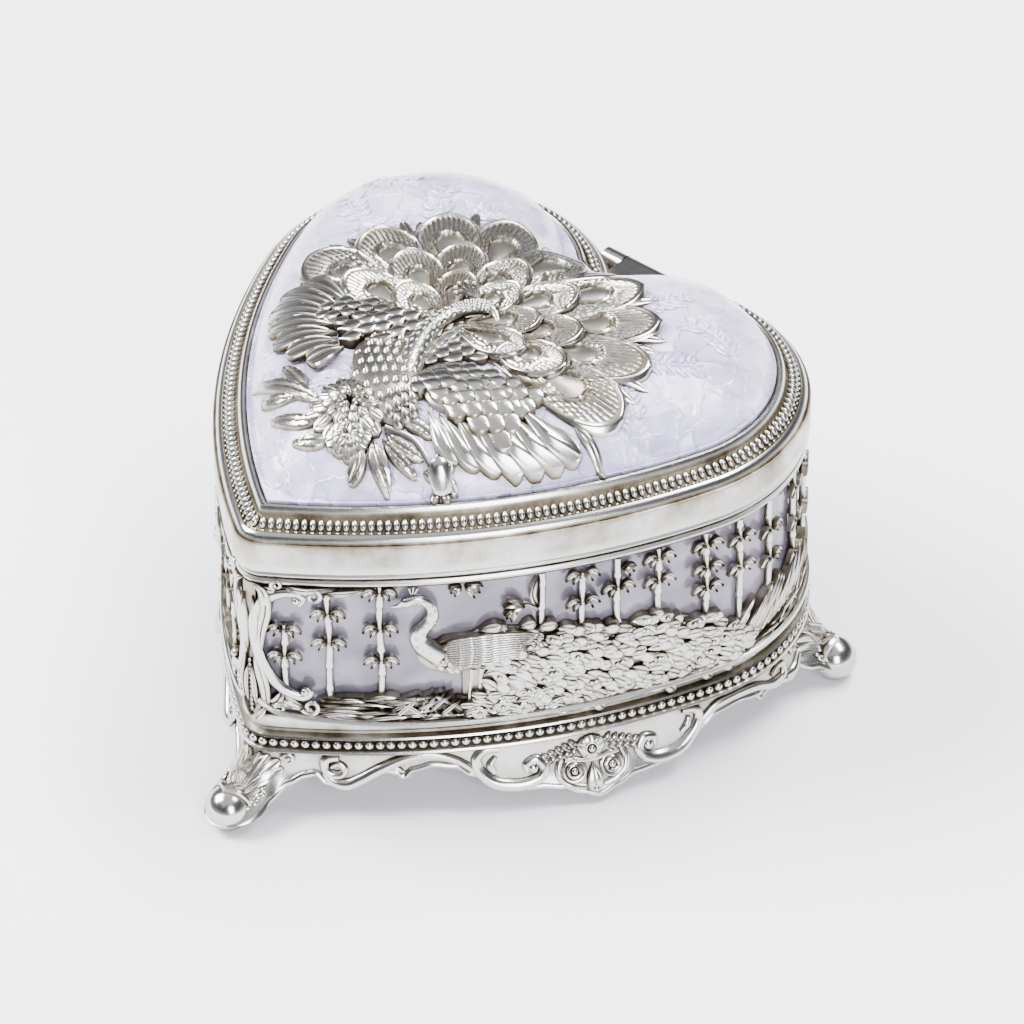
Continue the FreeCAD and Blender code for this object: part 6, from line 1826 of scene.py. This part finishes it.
def cartouche(casting, s0):
    """An open flower over two rosettes and a drop, with leaf sprays either side."""
    for k in range(5):
        a = math.radians(90 + 72 * k)
        tip = (s0 + 2.3 * math.cos(a), 9.3 + 2.0 * math.sin(a))
        leaf(
            casting,
            [
                (s0 + 0.4 * math.cos(a), 9.3 + 0.4 * math.sin(a)), ((s0 + tip[0]) / 2, (9.3 + tip[1]) / 2),
                tip
            ],
            1.25, 0.3, 1.0, rows=12, cols=11, blunt=0.66, vein=0.15, edge=0.12, base=-0.6
        )
    casting.beads([(s0, 9.3, 1.0)], np.diag([0.6, 0.6, 0.5]))
    ring_path = volute(s0, 9.3, 0.95, 0, 1, 20, 1.0)
    casting.tube(at_height(ring_path[:-1], 0.95), 0.16, sides=6, closed=True)
    for way in (-1, 1):
        for k in range(6):
            root = (s0 + way * (2.0 + 1.15 * k), 9.4 - 0.28 * k)
            for flip in (-1, 1):
                tip = (root[0] + way * 1.5, root[1] + flip * (1.5 - 0.14 * k))
                leaf(
                    casting, [root, ((root[0] + tip[0]) / 2 + 0.15 * way, (root[1] + tip[1]) / 2), tip],
                    0.5, 0.0, 0.65, rows=10, cols=7, vein=0.3, edge=0.06, base=-0.6
                )
        centre = (s0 + way * 3.1, 6.0)
        for r, w in ((1.7, 0.34), (1.0, 0.28)):
            path = volute(centre[0], centre[1], r, 0, 1, 26, 1.0)
            casting.tube(at_height(path[:-1], 0.3 + (1.7 - r) * 0.4), w, sides=7, closed=True)
        casting.beads([(*centre, 0.6)], np.diag([0.55, 0.55, 0.5]))
        scroll_line(
            casting,
            [
                (s0 + way * 5.0, 8.0), (s0 + way * 5.6, 6.4), (s0 + way * 5.0, 4.6), (s0 + way * 3.4, 3.6),
                (s0 + way * 1.6, 3.2)
            ],
            (0.3, 0.5, 0.5, 0.35), 0.2
        )
    leaf(
        casting, [(s0, 6.6), (s0, 4.4), (s0, 1.9)], 1.3, 0.0, 1.0, rows=16, cols=13, blunt=0.6, vein=0.1,
        edge=0.15, base=-0.7
    )
    casting.beads([(s0, 3.0, 0.75)], np.diag([0.5, 0.5, 0.45]))
    casting.tube(at_height(smooth_path([(s0 - 4.4, 7.8), (s0, 7.3), (s0 + 4.4, 7.8)], 20), 0.4), 0.3)


def lobe_scrolls(casting):
    """Scrolls on the apron behind each rear foot."""
    f = LOBE_FOOT
    for knots, widths in (
        (
            [(f + 9.6, 9.8), (f + 11.4, 10.4), (f + 12.4, 9.0), (f + 11.2, 7.6), (f + 9.4, 8.2)],
            (0.3, 0.5, 0.6, 0.5, 0.4)
        ),
        (
            [
                (f + 10.6, 7.4), (f + 14.5, 8.4), (f + 18.2, 10.2), (f + 22.0, 9.8), (f + 25.2, 7.4),
                (f + 29.0, 6.4), (f + 32.6, 8.2), (f + 36.6, 10.2)
            ],
            (0.4, 0.65, 0.6, 0.65, 0.4)
        ),
        (
            [(f + 27.2, 9.8), (f + 29.0, 10.6), (f + 30.6, 9.6), (f + 29.8, 8.2), (f + 28.0, 8.6)],
            (0.3, 0.5, 0.6, 0.5, 0.35)
        ),
    ):
        scroll_line(casting, knots, widths)


class MUSICBOX_OT_base(bpy.types.Operator):
    """Build the moulded base, its bead row and the scrolled apron"""

    bl_idname = "music_box.base"
    bl_label = "Base and apron"

    def execute(self, context):
        base = Casting()
        base.hoop([p[:2] for p in BASE_PROFILE], [p[2] for p in BASE_PROFILE])
        beads = context.scene.music_box_beads
        r = beads.base_radius / MM
        bead_row(base, 0.3, FLANGE_TOP - 2.5, beads.base_pitch / MM, (r, 0.97 * r, 0.87 * r), tilt=78)
        base.make("base_moulding", MATERIALS["silver"], "case", ["base_frame"], crease=35)
        for name, place in (("right", on_apron), ("left", mirrored(on_apron))):
            apron = Casting(place)
            s = np.linspace(0, HALF_ROUND, 420)
            rise = np.linspace(0, 1, 15)
            low = low_edge(s)
            z = low[:, None] + (PLATE_TOP - 0.4 - low)[:, None] * rise
            rim = 0.35 * np.exp(-((rise / 0.12) ** 2))[None, :]
            front = np.stack([s[:, None] + 0 * z, z, rim + 0 * z], -1)
            back = np.stack([s[:, None] + 0 * z, z, np.full(z.shape, -1.5)], -1)
            apron.block(front, back, 0.24, 0.75)
            edge_line = np.column_stack([s[2:-2], low[2:-2] + 0.25, np.full(len(s) - 4, -0.1)])
            apron.tube(edge_line, 0.55, sides=8)
            side_scrolls(apron)
            lobe_scrolls(apron)
            apron.make(f"apron_{name}", MATERIALS["silver"], "case")
        return {"FINISHED"}


# ------------------------------------------------------------------ feet
def acanthus(casting, s0, way, spread):
    """A lapped acanthus leaf up one side of a leg, with its bead cluster and volute."""
    for k, (ds, z, width) in enumerate(
        ((1.6, 11.3, 1.0), (3.6, 11.0, 1.3), (5.8, 10.2, 1.3), (6.6, 8.8, 1.0))
    ):
        root = (s0 + way * 0.35 * spread, 5.2 + 0.2 * k)
        tip = (s0 + way * ds * spread, z)
        mid = ((root[0] + tip[0]) / 2 - way * 0.25, (root[1] + tip[1]) / 2 + 0.7)
        leaf(
            casting, [root, mid, tip], width * spread**0.5, -0.1, 0.75, rows=20, cols=11, blunt=0.6,
            vein=0.35, edge=0.16, base=-0.9
        )
    for ds, z in (
        (1.6, 5.0), (2.2, 5.5), (2.8, 5.9), (1.4, 4.3), (2.0, 4.8), (2.6, 5.2), (3.3, 6.0), (3.2, 6.6)
    ):
        casting.beads([(s0 + way * ds * spread, z, 0.35)], np.diag([0.34 * spread**0.5, 0.38, 0.4]))
    roll = volute(s0 + way * 7.4 * spread, 10.6, 1.0, 180 if way > 0 else 0, -1.25 * way, 30, 0.25)
    casting.tube(at_height(roll, 0.2), np.linspace(0.42, 0.26, 30), sides=8)
    casting.beads([(s0 + way * 7.4 * spread, 10.6, 0.3)], np.diag([0.45, 0.45, 0.4]))


BALL_R, BALL_FLAT = 3.7, 0.2  # the ball toe, and how far it is flattened on the table
LOBE_FOOT_REACH = 4.7  # ball centre beyond the lobe


def ball_foot(casting, centre, outward):
    """A polished ball toe held by short claws."""
    rows, cols = 26, 40
    lift = np.linspace(-math.pi / 2, math.pi / 2, rows + 2)[1:-1]
    turn = np.arange(cols) * 2 * math.pi / cols
    r = BALL_R * np.cos(lift)
    x = centre[0] + np.outer(r, np.cos(turn))
    y = centre[1] + np.outer(r, np.sin(turn))
    z = np.maximum(centre[2] + BALL_R * np.sin(lift)[:, None] + 0 * x, 0.0)
    grid = np.arange(rows * cols).reshape(rows, cols)
    nxt = np.roll(grid, -1, 1)
    # The ball is painted darker towards its bottom, up to 0.4 of the tarnish scale at the lowest row.
    casting.put(
        np.stack([x, y, z], -1).reshape(-1, 3),
        np.repeat(np.clip(-np.sin(lift) * 0.4, 0, 1), cols),
        [
            np.stack([grid[:-1], nxt[:-1], nxt[1:], grid[1:]], -1).reshape(-1, 4), grid[0][None, ::-1],
            grid[-1][None]
        ],
    )
    inward = np.array([-math.cos(outward), -math.sin(outward)])
    aside = np.array([-inward[1], inward[0]])
    for swing in (-1.15, -0.4, 0.4, 1.15):
        way = inward * math.cos(swing) + aside * math.sin(swing)
        knots = []
        for climb, out in ((95, 1.02), (62, 1.07), (30, 1.09), (-4, 1.03)):
            a = math.radians(climb)
            knots.append(
                (
                    *(np.array(centre[:2]) + way * BALL_R * out * math.cos(a)),
                    centre[2] + BALL_R * out * math.sin(a)
                )
            )
        casting.tube(smooth_path(knots, 18), np.linspace(0.75, 0.25, 18), sides=8)


class MUSICBOX_OT_feet(bpy.types.Operator):
    """Build the three ball feet with their acanthus legs"""

    bl_idname = "music_box.feet"
    bl_label = "Feet"

    def execute(self, context):
        for node, s0, turn in (
            ("tip_foot", 0.0, -90.0), ("right_foot", LOBE_FOOT, LOBE_FOOT_ANGLE),
            ("left_foot", -LOBE_FOOT, 180 - LOBE_FOOT_ANGLE)
        ):
            low = np.array(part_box(node)[0]) / MM
            a = math.radians(turn)
            if node == "tip_foot":
                centre = np.array([0.0, low[1] + BALL_R, BALL_R - BALL_FLAT])
            else:
                x, y, _, _ = (float(v) for v in outline(s0, LOBE_FOOT_REACH))
                centre = np.array([x, y + SHIFT_Y, BALL_R - BALL_FLAT])
            spread = 0.78 if node == "tip_foot" else 1.0
            leaves = Casting(on_apron)
            for way in (-1, 1):
                acanthus(leaves, s0, way, spread)
            leaves.place = in_place
            ball_foot(leaves, centre, a)
            leaves.make(
                f"{node.replace('_foot', '')}_ball_foot", MATERIALS["silver"], "case",
                [node]
            )
        return {"FINISHED"}


# ------------------------------------------------------------------ tray lining
FLOCK_THICK, FLOCK_CORNER = 0.8, 2.4


def level_rings(profile, shares):
    """Rings at (inset, height) down a wall, then shrunk copies of the last one across the floor."""
    walls = [np.column_stack([ring(inset), np.full(len(ring(0)), z)]) for inset, z in profile]
    last = walls[-1]
    floor = [np.column_stack([HEART_MIDDLE + (last[:, :2] - HEART_MIDDLE) * f, last[:, 2]]) for f in shares]
    rings = np.array(walls + floor)
    rings[:, :, 1] += SHIFT_Y
    return rings


class MUSICBOX_OT_tray_lining(bpy.types.Operator):
    """Build the flocked lining of the jewel tray with soft corners"""

    bl_idname = "music_box.tray_lining"
    bl_label = "Tray lining"

    def execute(self, context):
        low, high = (np.array(c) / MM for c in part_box("tray_lining"))
        inset = float(LID_HIGH[0] - high[0])
        floor, lip = low[2], high[2]
        wall = inset + FLOCK_THICK
        inner = [(inset, lip), (inset + 0.25, lip + 0.0), (inset + 0.7, lip - 0.35)]
        inner += [(wall, z) for z in np.linspace(lip - 1.0, floor + FLOCK_THICK + FLOCK_CORNER, 8)]
        for a in np.linspace(0, math.pi / 2, 9):
            inner.append(
                (
                    wall + FLOCK_CORNER * (1 - math.cos(a)),
                    floor + FLOCK_THICK + FLOCK_CORNER * (1 - math.sin(a))
                )
            )
        face = level_rings(inner, (0.8, 0.6, 0.4, 0.2, 0.03))
        back = level_rings([(inset, z) for z in np.linspace(lip - 0.3, floor, 6)], (0.7, 0.35, 0.03))
        lining = Casting()
        lining.skin(face, back)
        lining.make(
            "flocked_lining", MATERIALS["velvet_flock"], "case", ["tray_lining"], crease=60
        )
        return {"FINISHED"}


# ------------------------------------------------------------------ finishes of the CAD parts that stay
class MUSICBOX_OT_finishes(bpy.types.Operator):
    """Give every CAD part that still shows its real finish"""

    bl_idname = "music_box.finishes"
    bl_label = "Finishes of plain parts"

    def execute(self, context):
        slots = {n: row["slot"] for row in frame["record"]["materials"] for n in row.get("nodes", [])}
        for name, node in frame["nodes"].items():
            if node.hide_render:
                continue
            slot = slots.get(name) or (
                node.data.materials[0].name.split(".")[0]
                if node.data.materials and node.data.materials[0] else "steel"
            )
            material = MATERIALS.get(slot, MATERIALS["steel"])
            if node.data.materials:
                for k in range(len(node.data.materials)):
                    node.data.materials[k] = material
            else:
                node.data.materials.append(material)
        return {"FINISHED"}


# ------------------------------------------------------------------ studio
CAMERA_TURN, CAMERA_RISE, CAMERA_ROLL = 41.85, 38.39, -0.97
CAMERA_DISTANCE = 1070.8
CAMERA_TARGET = (23.89, -6.62, 48.66)
CAMERA_LENS = 240.0
CAMERA_SHIFT = -0.0108
FLOOR_REACH = 2.5
LAMP_TARGET = (0.0, 0.0, 0.04)
# name, place in metres, size in metres, power in watts, colour
LAMPS = (
    ("key_left", (-0.6, -0.35, 0.8), (0.6, 0.6), 34.0, "#FFFFFF"),
    ("fill_right", (0.8, -0.5, 0.45), (0.35, 0.6), 14.0, "#F4F6FF"),
    ("top_back", (0.15, 0.45, 1.0), (0.9, 0.3), 28.0, "#FFFFFF"),
)
# the white studio from floor to ceiling, with its dark back wall
SKY_STEPS = (
    (0.28, "#E8EAF0"), (0.5, "#A2A3AA"), (0.64, "#5A5A60"),
    (0.88, "#77777D"), (0.97, "#F2F3F8"), (1.0, "#FFFFFF"),
)
SKY_STRENGTH = 0.85


def area_light(name, place, size, power, colour):
    """A soft rectangular lamp aimed at the box."""
    lamp = bpy.data.lights.new(name, "AREA")
    lamp.shape, lamp.size, lamp.size_y = "RECTANGLE", size[0], size[1]
    lamp.energy, lamp.color = power, linear(colour)[:3]
    holder = bpy.data.objects.new(name, lamp)
    bpy.context.scene.collection.objects.link(holder)
    holder.location = place
    holder.rotation_euler = (Vector(LAMP_TARGET) - Vector(place)).to_track_quat("-Z", "Y").to_euler()


class MUSICBOX_OT_studio(bpy.types.Operator):
    """Set the pale floor, the soft light and the camera"""

    bl_idname = "music_box.studio"
    bl_label = "Studio"

    def execute(self, context):
        mesh = bpy.data.meshes.new("paper_sweep")
        corners = [(x * FLOOR_REACH, y * FLOOR_REACH, 0) for x, y in ((-1, -1), (1, -1), (1, 1), (-1, 1))]
        mesh.from_pydata(corners, [], [(0, 1, 2, 3)])
        floor = bpy.data.objects.new("paper_sweep", mesh)
        mesh.materials.append(studio_floor())
        context.scene.collection.objects.link(floor)
        world = bpy.data.worlds.new("white_studio")
        context.scene.world = world
        world.use_nodes = True
        tree = world.node_tree
        sky = tree.nodes["Background"]
        place = add_node(tree, "ShaderNodeTexCoord").outputs["Generated"]
        parts = add_node(tree, "ShaderNodeSeparateXYZ", None, {"Vector": place})
        up = add_node(
            tree, "ShaderNodeMapRange", None,
            {"Value": parts.outputs["Z"], "From Min": -0.2, "From Max": 1.0}
        )
        streak = add_node(tree, "ShaderNodeTexNoise", None, {"Vector": place, "Scale": 2.2, "Detail": 1.0})
        mixed = add_node(
            tree, "ShaderNodeMath", {"operation": "MULTIPLY_ADD"},
            {0: streak.outputs["Fac"], 1: 0.32, 2: up.outputs["Result"]}
        )
        ramp = add_node(tree, "ShaderNodeValToRGB", None, {"Fac": mixed.outputs[0]})
        for k, (place_on, colour) in enumerate(SKY_STEPS):
            stop = ramp.color_ramp.elements[k] if k < 2 else ramp.color_ramp.elements.new(place_on)
            stop.position, stop.color = place_on, linear(colour)
        tree.links.new(ramp.outputs["Color"], sky.inputs["Color"])
        sky.inputs["Strength"].default_value = SKY_STRENGTH
        for lamp in LAMPS:
            area_light(*lamp)
        a, e = math.radians(CAMERA_TURN), math.radians(CAMERA_RISE)
        back = Vector((math.sin(a) * math.cos(e), -math.cos(a) * math.cos(e), math.sin(e)))
        lens = bpy.data.cameras.new("camera")
        lens.lens, lens.sensor_width = CAMERA_LENS, 36.0
        lens.shift_x = CAMERA_SHIFT
        lens.clip_start, lens.clip_end = 0.05, 20.0
        camera = bpy.data.objects.new("camera", lens)
        context.scene.collection.objects.link(camera)
        camera.location = Vector(CAMERA_TARGET) * MM + back * CAMERA_DISTANCE * MM
        aim = (-back).to_track_quat("-Z", "Y").to_matrix().to_4x4()
        camera.matrix_world = Matrix.Translation(camera.location) @ aim @ Matrix.Rotation(
            math.radians(CAMERA_ROLL), 4, "Z"
        )
        context.scene.camera = camera
        return {"FINISHED"}


# ------------------------------------------------------------------ panel and registration
STEPS = (
    MUSICBOX_OT_materials,
    MUSICBOX_OT_studio,
    MUSICBOX_OT_lid_casting,
    MUSICBOX_OT_enamel,
    MUSICBOX_OT_lid_peacock,
    MUSICBOX_OT_flower_spray,
    MUSICBOX_OT_lid_pad,
    MUSICBOX_OT_case,
    MUSICBOX_OT_garden,
    MUSICBOX_OT_base,
    MUSICBOX_OT_feet,
    MUSICBOX_OT_tray_lining,
    MUSICBOX_OT_finishes,
)


class MUSICBOX_PT_panel(bpy.types.Panel):
    """Lists the pieces of the music box"""

    bl_idname = "MUSICBOX_PT_panel"
    bl_label = "Music Box"
    bl_space_type = "VIEW_3D"
    bl_region_type = "UI"
    bl_category = "Music Box"

    def draw(self, context):
        for choices in (context.scene.music_box_finishes, context.scene.music_box_beads):
            for name in choices.__annotations__:
                self.layout.prop(choices, name)
        for step in STEPS:
            self.layout.operator(step.bl_idname)


def register():
    for kind in (FinishSettings, BeadSettings, *STEPS, MUSICBOX_PT_panel):
        bpy.utils.register_class(kind)
    bpy.types.Scene.music_box_finishes = bpy.props.PointerProperty(type=FinishSettings)
    bpy.types.Scene.music_box_beads = bpy.props.PointerProperty(type=BeadSettings)


def unregister():
    del bpy.types.Scene.music_box_beads
    del bpy.types.Scene.music_box_finishes
    for kind in (MUSICBOX_PT_panel, *reversed(STEPS), BeadSettings, FinishSettings):
        bpy.utils.unregister_class(kind)


def main():
    register()
    for step in STEPS:
        family, name = step.bl_idname.split(".")
        getattr(getattr(bpy.ops, family), name)()


if __name__ == "__main__":
    main()
